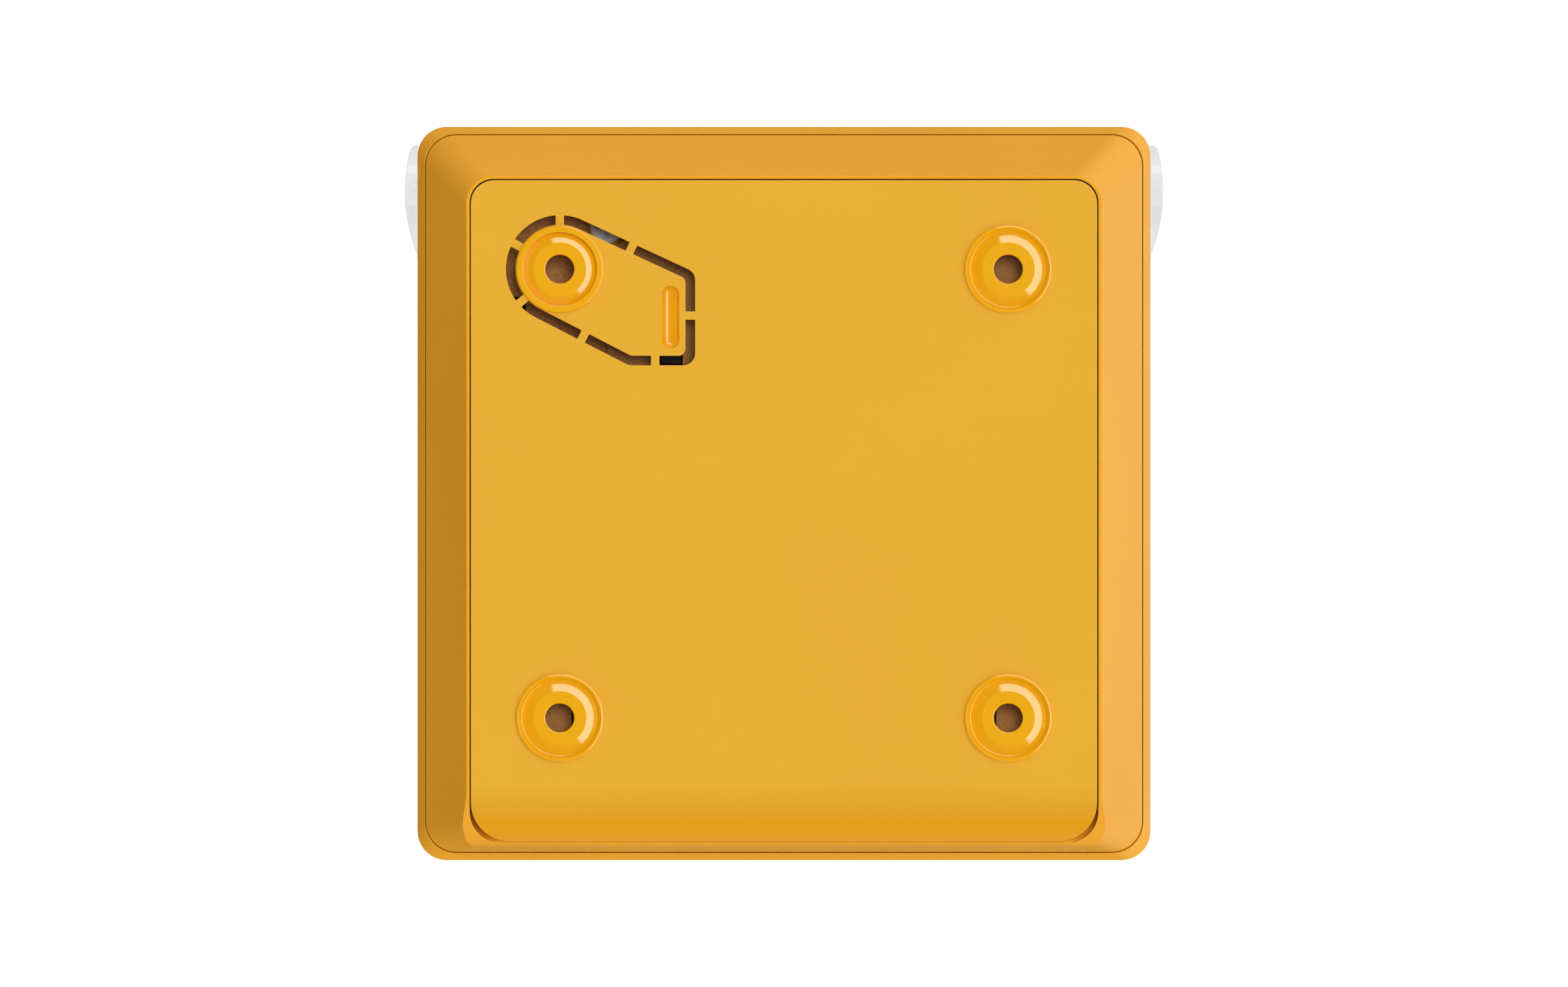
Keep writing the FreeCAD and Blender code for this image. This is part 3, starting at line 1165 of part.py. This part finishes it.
def cover_pins():
    """Two pins in the case's sides on which the cover turns."""
    body = new_body("cover_pins")
    for way in (1, -1):
        pin = sketch_on(body, "YZ_Plane", offset=f"{way} * dims.pin_inside")
        circle(pin, "-dims.pivot_depth", "dims.pivot_z", "dims.pivot_radius")
        pad(body, pin, "dims.ear_inside + 0.9 - dims.pin_inside", to_wall=way < 0)
    return body


# ---------------------------------------------------------------- build, check and write

mounting_plate()
rear_housing()
front_housing()
housing_seal()
screws("case_screws", CASE_SCREWS, "dims.screw_seat", "dims.screw_head", "dims.screw_head_thick", "15")
retaining_clips()
front_bezel()
push_plate()
press_symbol()
button_chassis()
screws("chassis_screws", CHASSIS_SCREWS, "dims.chassis_rear",
       "dims.small_head", "dims.small_head_thick", "5.5")
return_springs()
switch_body()
switch_lever()
lever_pin()
switch_plunger()
circuit_board()
screws("board_screws", BOARD_SCREWS, "dims.board_rear", "dims.small_head", "dims.small_head_thick", "7")
radio_module()
antenna()
status_led()
status_lens()
tamper_switch()
tamper_plunger()
tamper_spring()
battery_holder()
battery_cells()
battery_contacts()
protective_cover()
cover_pins()
doc.recompute()

for item in doc.Objects:
    if "Invalid" in item.State or "Error" in item.State:
        raise ValueError(f"{item.Label}: {item.State}")
for node in EVERY_NODE:
    if node.Shape.isNull() or not node.Shape.isValid():
        raise ValueError(f"{node.Label} has no valid shape")
os.makedirs("parts", exist_ok=True)
for node in EVERY_NODE:
    node.Shape.exportStep(f"parts/{node.Label}.step")
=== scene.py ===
"""Looks for the wall-mounted push-button call unit: materials, light and camera around the CAD frame."""
import json
import math
import bpy
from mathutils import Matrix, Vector


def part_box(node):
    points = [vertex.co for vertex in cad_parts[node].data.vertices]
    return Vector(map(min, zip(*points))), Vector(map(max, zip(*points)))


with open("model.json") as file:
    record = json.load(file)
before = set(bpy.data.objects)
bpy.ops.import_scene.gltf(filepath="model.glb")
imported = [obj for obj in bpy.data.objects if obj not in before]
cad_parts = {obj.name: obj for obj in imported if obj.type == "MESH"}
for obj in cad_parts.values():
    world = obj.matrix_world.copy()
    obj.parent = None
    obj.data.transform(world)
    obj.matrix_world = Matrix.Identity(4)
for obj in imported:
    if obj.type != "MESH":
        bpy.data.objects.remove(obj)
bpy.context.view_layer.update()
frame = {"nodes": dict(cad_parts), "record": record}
NODES = frame["nodes"]
MM = 0.001
scene = bpy.context.scene


# ---------------------------------------------------------------- node helpers

class Graph:
    """A small helper around one material's node tree."""

    def __init__(self, name):
        self.material = bpy.data.materials.new(name)
        self.material.use_nodes = True
        self.tree = self.material.node_tree
        self.tree.nodes.clear()
        self.output = self.tree.nodes.new("ShaderNodeOutputMaterial")

    def node(self, kind, inputs=None, **settings):
        """Add a node; an input may be a plain value or another node's output socket."""
        made = self.tree.nodes.new("ShaderNode" + kind)
        for key, value in settings.items():
            setattr(made, key, value)
        for key, value in (inputs or {}).items():
            socket = made.inputs[key]
            if isinstance(value, bpy.types.NodeSocket):
                self.tree.links.new(value, socket)
            else:
                socket.default_value = value
        return made

    def math(self, operation, *values):
        return self.node("Math", dict(enumerate(values)), operation=operation).outputs[0]

    def place(self, scale=1.0):
        """The object's own coordinates in millimetres, over scale."""
        where = self.node("TexCoord").outputs["Object"]
        return self.node("VectorMath", {0: where, "Scale": 1 / (MM * scale)}, operation="SCALE").outputs[0]

    def noise(self, size_mm, detail=2.0, roughness=0.5):
        """Noise whose features are about size_mm across, from 0 to 1."""
        made = self.node("TexNoise", {"Vector": self.place(size_mm), "Scale": 1.0,
                                      "Detail": detail, "Roughness": roughness})
        return made.outputs["Fac"]

    def spread(self, value, low, high, to_low=0.0, to_high=1.0):
        """Stretch a value from one range to another, held at its ends."""
        made = self.node("MapRange", {"Value": value, "From Min": low, "From Max": high,
                                      "To Min": to_low, "To Max": to_high})
        return made.outputs[0]

    def mix(self, factor, a, b):
        """Mix two colours."""
        made = self.node("Mix", data_type="RGBA")
        for index, value in ((0, factor), (6, a), (7, b)):
            socket = made.inputs[index]
            if isinstance(value, bpy.types.NodeSocket):
                self.tree.links.new(value, socket)
            else:
                socket.default_value = value
        return made.outputs[2]

    def bump(self, height, distance_mm, strength=1.0, normal=None):
        inputs = {"Height": height, "Distance": distance_mm * MM, "Strength": strength}
        if normal is not None:
            inputs["Normal"] = normal
        return self.node("Bump", inputs).outputs[0]

    def edges(self, radius_mm):
        """(a normal rounded over the edges, a mask that is 1 on them)."""
        rounded = self.node("Bevel", {"Radius": radius_mm * MM}, samples=6).outputs[0]
        flat = self.node("NewGeometry").outputs["Normal"]
        same = self.node("VectorMath", {0: rounded, 1: flat}, operation="DOT_PRODUCT").outputs["Value"]
        return rounded, self.spread(same, 0.99, 0.80)

    def axes(self):
        """The object's own x, y and z in millimetres, as three sockets."""
        return self.node("SeparateXYZ", {0: self.place()}).outputs[:3]

    def inside(self, value, low, high, soft=0.05):
        """1 where a value lies between two limits, 0 elsewhere."""
        rising = self.spread(value, low - soft, low + soft)
        falling = self.spread(value, high - soft, high + soft, 1.0, 0.0)
        return self.math("MULTIPLY", rising, falling)

    def finish(self, shader):
        self.tree.links.new(shader.outputs[0], self.output.inputs["Surface"])
        return self.material


def rgba(red, green, blue):
    """A colour given as display values from 0 to 255, as the renderer wants it."""
    def linear(value):
        value /= 255
        return value / 12.92 if value <= 0.04045 else ((value + 0.055) / 1.055) ** 2.4
    return linear(red), linear(green), linear(blue), 1.0


# ---------------------------------------------------------------- places on the pieces, in mm, and colours

def named(rows, name):
    """The row of a list in the record that has this name."""
    return next(row for row in rows if row["name"] == name)


WALL_SCREWS = named(frame["record"]["mounts"], "wall_screws")
COVER_HINGE = named(frame["record"]["behaviour"]["joints"], "cover_hinge")
SCREW_HALF_MM = WALL_SCREWS["dims"]["spacing_x_mm"] / 2
BOSS_MM = 5.93
TROUGH_X_MM = (13.98, 16.4)
TROUGH_Z_MM = (19.35, 27.85)
TROUGH_DEEP_MM = (-0.52, -0.56)
LIP_Z_MM = (-38.5, -44.0)
RECESS_X_MM = (-42.0, 42.0)
RECESS_Y_MM = (-7.2, -4.6)
RECESS_Z_MM = (-43.0, 42.0)
EAR_X_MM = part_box("front_housing")[1][0] / MM
HINGE_MM = [value / MM for value in COVER_HINGE["pos_m"][1:]]
PIN_CLEAR_MM = 1.6
SOFT_STEP_MM = 0.1

CASE = rgba(240, 166, 24)
CASE_SHADE = rgba(236, 161, 20)
CASE_WORN = rgba(246, 196, 100)
# painted shade: the duller, browner colour of the recess behind the mounting plate, with lighter specks
RECESS_PAINTED_SHADE = rgba(167, 111, 54)
RECESS_PAINTED_SHADE_SPECK = rgba(216, 157, 88)
PLATE = rgba(230, 171, 30)
PLATE_SHADE = rgba(227, 167, 28)
PLATE_WORN = rgba(250, 208, 120)
POLISHED = rgba(240, 172, 14)
# painted shade: a darker, more saturated orange for the plate's lower lip, where its bend turns away from the
# light
LIP_PAINTED_SHADE = rgba(218, 152, 12)
CLEAR_FACE = (0.975, 0.98, 0.98, 1)
CLEAR_EAR = (0.94, 0.94, 0.945, 1)
CLEAR_EDGE = (0.72, 0.76, 0.76, 1)
WHITE = (1, 1, 1, 1)
PLASTIC_IOR = 1.5


# ---------------------------------------------------------------- materials

def moulded_plastic(name, colour, shade, roughness, grain_mm, grain_depth_mm):
    """Injection-moulded plastic: spark-eroded grain, slight flow marks and edges polished by handling."""
    g = Graph(name)
    flow = g.spread(g.noise(26, 3), 0.35, 0.7)
    tone = g.mix(flow, colour, shade)
    rounded, edge = g.edges(0.12)
    handled = g.math("MULTIPLY", edge, g.spread(g.noise(3.0, 3), 0.35, 0.6))
    lighter = tuple(min(1.0, c * 1.25 + 0.03) for c in colour[:3]) + (1.0,)
    tone = g.mix(g.math("MULTIPLY", handled, 0.25), tone, lighter)
    grain = g.noise(grain_mm, 2, 0.6)
    dust = g.spread(g.noise(6.0, 5, 0.7), 0.5, 0.75)
    rough = g.math("ADD", g.spread(grain, 0.3, 0.7, roughness - 0.04, roughness + 0.05),
                   g.math("MULTIPLY", dust, 0.04))
    normal = g.bump(grain, grain_depth_mm, 1.0, rounded)
    shader = g.node("BsdfPrincipled", {"Base Color": tone, "Roughness": rough, "Normal": normal,
                                       "IOR": PLASTIC_IOR})
    return g.finish(shader)


def plain_metal(name, colour, roughness, metallic=1.0):
    """Plated or drawn metal with fine scratches and faint tarnish."""
    g = Graph(name)
    tarnish = g.spread(g.noise(2.5, 4, 0.6), 0.4, 0.75)
    dull = tuple(c * 0.62 for c in colour[:3]) + (1.0,)
    tone = g.mix(g.math("MULTIPLY", tarnish, 0.45), colour, dull)
    scratch = g.noise(0.25, 6, 0.75)
    rough = g.spread(scratch, 0.3, 0.7, roughness - 0.07, roughness + 0.12)
    rounded, _ = g.edges(0.08)
    normal = g.bump(scratch, 0.01, 0.7, rounded)
    shader = g.node("BsdfPrincipled", {"Base Color": tone, "Metallic": metallic, "Roughness": rough,
                                       "Normal": normal})
    return g.finish(shader)


def frosted_plastic(name, colour):
    """Frosted light-guide plastic: milky, part clear, with faint flow lines."""
    g = Graph(name)
    flow = g.noise(1.5, 3)
    rounded, _ = g.edges(0.15)
    normal = g.bump(flow, 0.01, 0.5, rounded)
    tone = g.mix(g.spread(flow, 0.3, 0.7), colour, tuple(c * 0.9 for c in colour[:3]) + (1.0,))
    shader = g.node("BsdfPrincipled", {"Base Color": tone, "Roughness": g.spread(flow, 0.3, 0.7, 0.18, 0.3),
                                       "Normal": normal, "Transmission Weight": 0.35, "IOR": 1.49})
    return g.finish(shader)


def clear_sheet(name):
    """Clear plastic seen straight through: faint tint, painted shade on its edges, darker ears, scratches in
    its gloss.
    """
    g = Graph(name)
    rounded, edge = g.edges(0.35)
    flow = g.noise(9.0, 3)
    scratch = g.spread(g.noise(0.9, 6, 0.85), 0.56, 0.8)
    normal = g.bump(flow, 0.03, 0.4, rounded)
    facing = g.node("LayerWeight", {"Blend": 0.5, "Normal": normal}).outputs["Facing"]
    x, y, z = g.axes()
    ear = g.spread(g.math("ABSOLUTE", x), EAR_X_MM - SOFT_STEP_MM, EAR_X_MM + SOFT_STEP_MM)
    back, up = g.math("SUBTRACT", y, HINGE_MM[0]), g.math("SUBTRACT", z, HINGE_MM[1])
    from_pin = g.math("SQRT", g.math("ADD", g.math("MULTIPLY", back, back), g.math("MULTIPLY", up, up)))
    beyond_pin = g.spread(from_pin, PIN_CLEAR_MM - SOFT_STEP_MM, PIN_CLEAR_MM + SOFT_STEP_MM)
    # painted shade: the tint darkens at grazing angles and over the edges, in place of the dark look
    # refraction gives clear plastic there
    rim = g.math("MAXIMUM", g.spread(facing, 0.75, 1.0), edge)
    painted_edge_shade = g.math("MULTIPLY", rim, g.spread(ear, 0, 1, 0.4, 0.08))
    tint = g.mix(ear, CLEAR_FACE, CLEAR_EAR)
    tint = g.mix(painted_edge_shade, tint, CLEAR_EDGE)
    tint = g.mix(g.math("MULTIPLY", g.spread(flow, 0.35, 0.7), 0.04), tint, CLEAR_EDGE)
    tint = g.mix(beyond_pin, WHITE, tint)
    through = g.node("BsdfTransparent", {"Color": tint})
    rough = g.math("ADD", g.math("MULTIPLY", scratch, 0.2), 0.04)
    gloss = g.node("BsdfGlossy", {"Color": WHITE, "Roughness": rough, "Normal": normal})
    share = g.node("Fresnel", {"IOR": 1.45, "Normal": normal}).outputs[0]
    share = g.math("MULTIPLY", share, g.spread(scratch, 0, 1, 0.8, 1.4))
    share = g.math("MINIMUM", share, g.spread(beyond_pin, 0, 1, 0.01, 0.09))
    shader = g.node("MixShader", {0: share, 1: through.outputs[0], 2: gloss.outputs[0]})
    return g.finish(shader)


def soft_rubber(name, colour):
    """Matte rubber with a dusty bloom."""
    g = Graph(name)
    bloom = g.spread(g.noise(1.5, 5, 0.7), 0.4, 0.75)
    tone = g.mix(g.math("MULTIPLY", bloom, 0.35), colour, (0.12, 0.115, 0.11, 1))
    normal = g.bump(g.noise(0.15, 2), 0.02)
    shader = g.node("BsdfPrincipled", {"Base Color": tone, "Roughness": 0.75, "Normal": normal})
    return g.finish(shader)


def circuit_laminate(name):
    """Solder mask over copper tracks, with a woven glass texture below."""
    g = Graph(name)
    where = g.place(2.2)
    tracks = g.node("TexBrick", {"Vector": where, "Scale": 1.0, "Mortar Size": 0.06, "Brick Width": 1.6,
                                 "Row Height": 0.7}).outputs["Fac"]
    weave = g.noise(0.4, 3)
    tone = g.mix(tracks, rgba(22, 92, 44), rgba(10, 62, 30))
    tone = g.mix(g.math("MULTIPLY", weave, 0.3), tone, rgba(34, 110, 58))
    normal = g.bump(tracks, 0.04, 0.6)
    shader = g.node("BsdfPrincipled", {"Base Color": tone, "Roughness": g.spread(weave, 0.3, 0.7, 0.25, 0.4),
                                       "Normal": normal, "Coat Weight": 0.4, "Coat Roughness": 0.15})
    return g.finish(shader)


def polished_mask(g):
    """1 on the mounting plate's screw bosses and in its tamper trough, which are polished in the mould."""
    x, y, z = g.axes()
    across = g.math("SUBTRACT", g.math("ABSOLUTE", x), SCREW_HALF_MM)
    up = g.math("SUBTRACT", g.math("ABSOLUTE", z), SCREW_HALF_MM)
    from_hole = g.math("SQRT", g.math("ADD", g.math("MULTIPLY", across, across), g.math("MULTIPLY", up, up)))
    boss = g.spread(from_hole, BOSS_MM - 0.04, BOSS_MM + 0.04, 1.0, 0.0)
    trough = g.math("MULTIPLY", g.inside(x, *TROUGH_X_MM), g.inside(z, *TROUGH_Z_MM))
    return g.math("MAXIMUM", boss, g.math("MULTIPLY", trough, g.spread(y, *TROUGH_DEEP_MM)))


def mounting_plate_plastic(name):
    """Fine satin grain on the plate, with glossy bosses and trough, and painted shade down its lower lip."""
    g = Graph(name)
    polished = polished_mask(g)
    flow = g.spread(g.noise(30, 3), 0.35, 0.7)
    satin = g.mix(flow, PLATE, PLATE_SHADE)
    rounded, edge = g.edges(0.15)
    handled = g.math("MULTIPLY", edge, g.spread(g.noise(3.0, 3), 0.35, 0.6))
    satin = g.mix(g.math("MULTIPLY", handled, 0.3), satin, PLATE_WORN)
    # painted shade: down the lower lip the plate turns darker and more orange, for the bend turned away from
    # the light; its specular is turned down there as well
    lip_shade = g.spread(g.axes()[2], *LIP_Z_MM)
    satin = g.mix(lip_shade, satin, LIP_PAINTED_SHADE)
    tone = g.mix(polished, satin, POLISHED)
    grain = g.noise(0.22, 2, 0.6)
    rough = g.node("Mix", {0: polished, 2: g.spread(grain, 0.3, 0.7, 0.44, 0.54), 3: 0.13}).outputs[0]
    depth = g.math("MULTIPLY", grain, g.spread(polished, 0, 1, 1.0, 0.1))
    normal = g.bump(depth, 0.008, 1.0, rounded)
    shader = g.node("BsdfPrincipled", {"Base Color": tone, "Roughness": rough, "Normal": normal,
                                       "IOR": g.spread(polished, 0, 1, 1.6, 1.75),
                                       "Specular IOR Level": g.spread(lip_shade, 0, 1, 0.5, 0.05)})
    return g.finish(shader)


def case_plastic(name):
    """The case's plastic, with painted shade in the recess behind the mounting plate: a duller and browner
    colour there.
    """
    g = Graph(name)
    flow = g.spread(g.noise(26, 3), 0.35, 0.7)
    tone = g.mix(flow, CASE, CASE_SHADE)
    rounded, edge = g.edges(0.12)
    handled = g.math("MULTIPLY", edge, g.spread(g.noise(3.0, 3), 0.35, 0.6))
    tone = g.mix(g.math("MULTIPLY", handled, 0.2), tone, CASE_WORN)
    x, y, z = g.axes()
    fine = g.noise(0.2, 4, 0.7)
    # painted shade: the recess behind the mounting plate, seen through its holes and slots, is coloured a
    # darker, browner tone with fine specks
    recess_shade = g.math("MULTIPLY", g.inside(x, *RECESS_X_MM, SOFT_STEP_MM),
                    g.inside(z, *RECESS_Z_MM, SOFT_STEP_MM))
    recess_shade = g.math("MULTIPLY", g.inside(y, *RECESS_Y_MM), recess_shade)
    tone = g.mix(recess_shade, tone, g.mix(g.spread(fine, 0.35, 0.65), RECESS_PAINTED_SHADE, RECESS_PAINTED_SHADE_SPECK))
    grain = g.noise(0.35, 2, 0.6)
    dust = g.spread(g.noise(6.0, 5, 0.7), 0.5, 0.75)
    rough = g.math("ADD", g.spread(grain, 0.3, 0.7, 0.24, 0.32), g.math("MULTIPLY", dust, 0.04))
    normal = g.bump(grain, 0.006, 1.0, rounded)
    shader = g.node("BsdfPrincipled", {"Base Color": tone, "Roughness": rough, "Normal": normal,
                                       "IOR": PLASTIC_IOR})
    return g.finish(shader)


MATERIALS = {
    "case_yellow": case_plastic("case_yellow"),
    "plate_yellow": mounting_plate_plastic("plate_yellow"),
    "clear_cover": clear_sheet("clear_cover"),
    "seal_rubber": soft_rubber("seal_rubber", (0.02, 0.02, 0.022, 1)),
    "zinc_steel": plain_metal("zinc_steel", (0.90, 0.91, 0.93, 1), 0.40, metallic=0.1),
    "spring_steel": plain_metal("spring_steel", (0.56, 0.57, 0.60, 1), 0.22),
    "bezel_black": moulded_plastic("bezel_black", (0.022, 0.022, 0.024, 1),
                                   (0.03, 0.03, 0.032, 1), 0.45, 0.3, 0.02),
    "plate_white": moulded_plastic("plate_white", (0.78, 0.78, 0.75, 1),
                                   (0.74, 0.74, 0.70, 1), 0.3, 0.5, 0.004),
    "symbol_black": moulded_plastic("symbol_black", (0.015, 0.015, 0.017, 1),
                                    (0.02, 0.02, 0.022, 1), 0.4, 0.3, 0.01),
    "chassis_grey": moulded_plastic("chassis_grey", (0.10, 0.105, 0.115, 1),
                                    (0.13, 0.135, 0.145, 1), 0.5, 0.4, 0.02),
    "board_green": circuit_laminate("board_green"),
    "switch_black": moulded_plastic("switch_black", (0.018, 0.018, 0.02, 1),
                                    (0.026, 0.026, 0.028, 1), 0.4, 0.25, 0.01),
    "shield_tin": plain_metal("shield_tin", (0.66, 0.66, 0.63, 1), 0.3),
    "copper_wire": plain_metal("copper_wire", (0.68, 0.32, 0.16, 1), 0.28),
    "light_guide": frosted_plastic("light_guide", rgba(206, 232, 214)),
    "led_white": moulded_plastic("led_white", (0.80, 0.79, 0.70, 1),
                                 (0.76, 0.75, 0.64, 1), 0.35, 0.3, 0.004),
    "cell_wrap": moulded_plastic("cell_wrap", (0.015, 0.03, 0.075, 1),
                                 (0.02, 0.036, 0.085, 1), 0.28, 0.6, 0.006),
    "contact_metal": plain_metal("contact_metal", (0.72, 0.68, 0.60, 1), 0.24),
}

for part in frame["record"]["subparts"]:
    node = NODES[part["node"]]
    material = MATERIALS[part["material_slot"]]
    if not node.material_slots:
        node.data.materials.append(material)
    for material_slot in node.material_slots:
        material_slot.material = material


# ---------------------------------------------------------------- stage, light and camera

# Spans are in y of a ray's direction, which is 1 straight behind the unit and -1 straight in front of it.
SOFT_LIGHT = {"all": 0.67, "-x": -0.03, "+x": -0.50, "+z": 0.56, "-z": 0.82, "+y": -0.22, "-y": 0.40}
SIDE_MIDDLE_DEG = 27.5
SIDE_HALF_DEG = 77.5
RING_SPAN = (0.45, 0.92)
RING_LIGHT = 0.55
STRIP_SPAN = (0.38, 0.72)
NEAR_TOP = 0.88
NEAR_COS = 0.95
STRIP_LIGHT = 3.2
WING_SPAN = (-0.12, 0.30)
WING_LIGHT = 0.6
BEYOND_SPAN = (-0.1, -0.3)
BACKDROP = (0.02, 0.8)
WARM = (1.0, 0.98, 0.66, 1)
ABOVE = 0.10
FRONT_SPAN = (-0.93, -0.97)
FRONT_LIGHT = 0.06
SOFT_EDGE = 0.03
SUN_LEVEL = 0.38
SUN_ACROSS_DEG = 22
SUN_FROM = (-0.14, 0.98, 0.14)
FLOOR_REACH = 9.0
FLOOR_Z = -0.30
FRAME_WIDTH_MM = 209.75


def sun_light():
    """A broad lamp above and to the -X side of the camera; it shapes the holes and casts no gloss."""
    data = bpy.data.lights.new("sun", "SUN")
    data.energy = SUN_LEVEL * math.pi
    data.angle = math.radians(SUN_ACROSS_DEG)
    lamp = bpy.data.objects.new("sun", data)
    lamp.rotation_euler = Vector(SUN_FROM).to_track_quat("Z", "Y").to_euler()
    lamp.visible_glossy = False
    scene.collection.objects.link(lamp)


def stage_floor():
    """A wide, plain pale floor below the unit."""
    mesh = bpy.data.meshes.new("floor")
    corners = ((-1, -1), (1, -1), (1, 1), (-1, 1))
    mesh.from_pydata([(FLOOR_REACH * x, FLOOR_REACH * y, FLOOR_Z) for x, y in corners], [], [(0, 1, 2, 3)])
    floor = bpy.data.objects.new("floor", mesh)
    scene.collection.objects.link(floor)
    g = Graph("floor_paper")
    tone = g.mix(g.spread(g.noise(30, 2), 0.3, 0.7), (0.87, 0.87, 0.865, 1), (0.855, 0.855, 0.85, 1))
    paper = g.node("BsdfPrincipled", {"Base Color": tone, "Roughness": 0.8})
    seen = g.node("LightPath").outputs["Is Camera Ray"]
    g.finish(g.node("MixShader", {0: seen, 1: g.node("BsdfTransparent").outputs[0], 2: paper.outputs[0]}))
    mesh.materials.append(g.material)
    floor.visible_diffuse = False
    floor.visible_glossy = False


def studio_world():
    """White to the camera, soft light for the surfaces' own colour and a separate room for their gloss."""
    world = bpy.data.worlds.new("studio")
    world.use_nodes = True
    tree = world.node_tree
    tree.nodes.clear()
    link = tree.links.new

    def node(kind, *values, **settings):
        made = tree.nodes.new("ShaderNode" + kind)
        for key, value in settings.items():
            setattr(made, key, value)
        for index, value in enumerate(values):
            if isinstance(value, bpy.types.NodeSocket):
                link(value, made.inputs[index])
            else:
                made.inputs[index].default_value = value
        return made

    def maths(operation, *values):
        return node("Math", *values, operation=operation).outputs[0]

    def ramp(value, low, high, to_low=0.0, to_high=1.0):
        made = node("MapRange", value, low, high, to_low, to_high, interpolation_type="SMOOTHSTEP")
        return made.outputs[0]

    def band(value, low, high, soft):
        return maths("MULTIPLY", ramp(value, low - soft, low + soft),
                     ramp(value, high - soft, high + soft, 1.0, 0.0))

    direction = node("TexCoord").outputs["Generated"]
    axis = node("SeparateXYZ", direction).outputs
    x, y, z = axis[0], axis[1], axis[2]

    # soft light for the surfaces' own colour: a level for each of the six directions
    soft = SOFT_LIGHT["all"]
    for value, positive, negative in ((x, "+x", "-x"), (y, "+y", "-y"), (z, "+z", "-z")):
        soft = maths("ADD", soft, maths("MULTIPLY", maths("MAXIMUM", value, 0.0), SOFT_LIGHT[positive]))
        soft = maths("ADD", soft, maths("MULTIPLY", maths("MAXIMUM", maths("MULTIPLY", value, -1.0), 0.0),
                                        SOFT_LIGHT[negative]))

    # what glossy surfaces mirror, as seen from behind the unit: a ring, a bright strip and a dim wing, all on
    # the side from -X to above, a warm backdrop beyond -X, a glow above and another straight in front
    away = maths("SQRT", maths("SUBTRACT", 1.0001, maths("MULTIPLY", y, y)))
    off_x = maths("DIVIDE", maths("MULTIPLY", x, -1.0), away)
    turn = math.radians(SIDE_MIDDLE_DEG)
    toward = maths("ADD", maths("MULTIPLY", x, -math.cos(turn)), maths("MULTIPLY", z, math.sin(turn)))
    limit = math.cos(math.radians(SIDE_HALF_DEG))
    side = ramp(maths("DIVIDE", toward, away), limit - SOFT_EDGE, limit + SOFT_EDGE)
    ring = maths("MULTIPLY", maths("MULTIPLY", band(y, *RING_SPAN, 0.04), side), RING_LIGHT)
    strip = maths("MULTIPLY", band(y, *STRIP_SPAN, 0.02), side)
    level = ramp(off_x, NEAR_COS - SOFT_EDGE, NEAR_COS + SOFT_EDGE)
    near = maths("MULTIPLY", band(y, STRIP_SPAN[1], NEAR_TOP, 0.02), level)
    strip = maths("MULTIPLY", maths("MAXIMUM", strip, near), STRIP_LIGHT)
    wing = maths("MULTIPLY", maths("MULTIPLY", band(y, *WING_SPAN, 0.05), side), WING_LIGHT)
    beyond = ramp(y, *BEYOND_SPAN)
    backdrop = maths("MULTIPLY", beyond, ramp(maths("MULTIPLY", x, -1.0), -0.1, 0.7, *BACKDROP))
    above = maths("MULTIPLY", beyond, ramp(z, 0.1, 0.7, 0.0, ABOVE))
    front = maths("MULTIPLY", ramp(y, *FRONT_SPAN), FRONT_LIGHT)
    white_part = maths("ADD", maths("ADD", ring, strip), maths("ADD", wing, maths("ADD", above, front)))

    rays = node("LightPath").outputs
    dim = node("Background", WHITE, soft)
    warm = node("Background", WARM, backdrop)
    shine = node("AddShader", node("Background", WHITE, white_part).outputs[0], warm.outputs[0])
    white = node("Background", WHITE, 1.0)
    cast = node("MixShader", rays["Is Glossy Ray"], dim.outputs[0], shine.outputs[0])
    chosen = node("MixShader", rays["Is Camera Ray"], cast.outputs[0], white.outputs[0])
    link(chosen.outputs[0], node("OutputWorld").inputs["Surface"])
    # the split above holds only for rays that leave a surface, so the world isn't sampled as a light
    world.cycles.sampling_method = "NONE"
    scene.world = world


def photo_camera():
    """A long lens square to the back of the unit, as it was photographed."""
    distance = 3.0
    data = bpy.data.cameras.new("photo_camera")
    data.sensor_width = 36.0
    data.lens = data.sensor_width * distance / (FRAME_WIDTH_MM * MM)
    data.clip_end = 20.0
    camera = bpy.data.objects.new("photo_camera", data)
    camera.location = (0, distance, 0)
    camera.rotation_euler = (math.radians(90), 0, math.radians(180))
    scene.collection.objects.link(camera)
    scene.camera = camera


stage_floor()
studio_world()
sun_light()
photo_camera()
scene.view_settings.view_transform = "Standard"
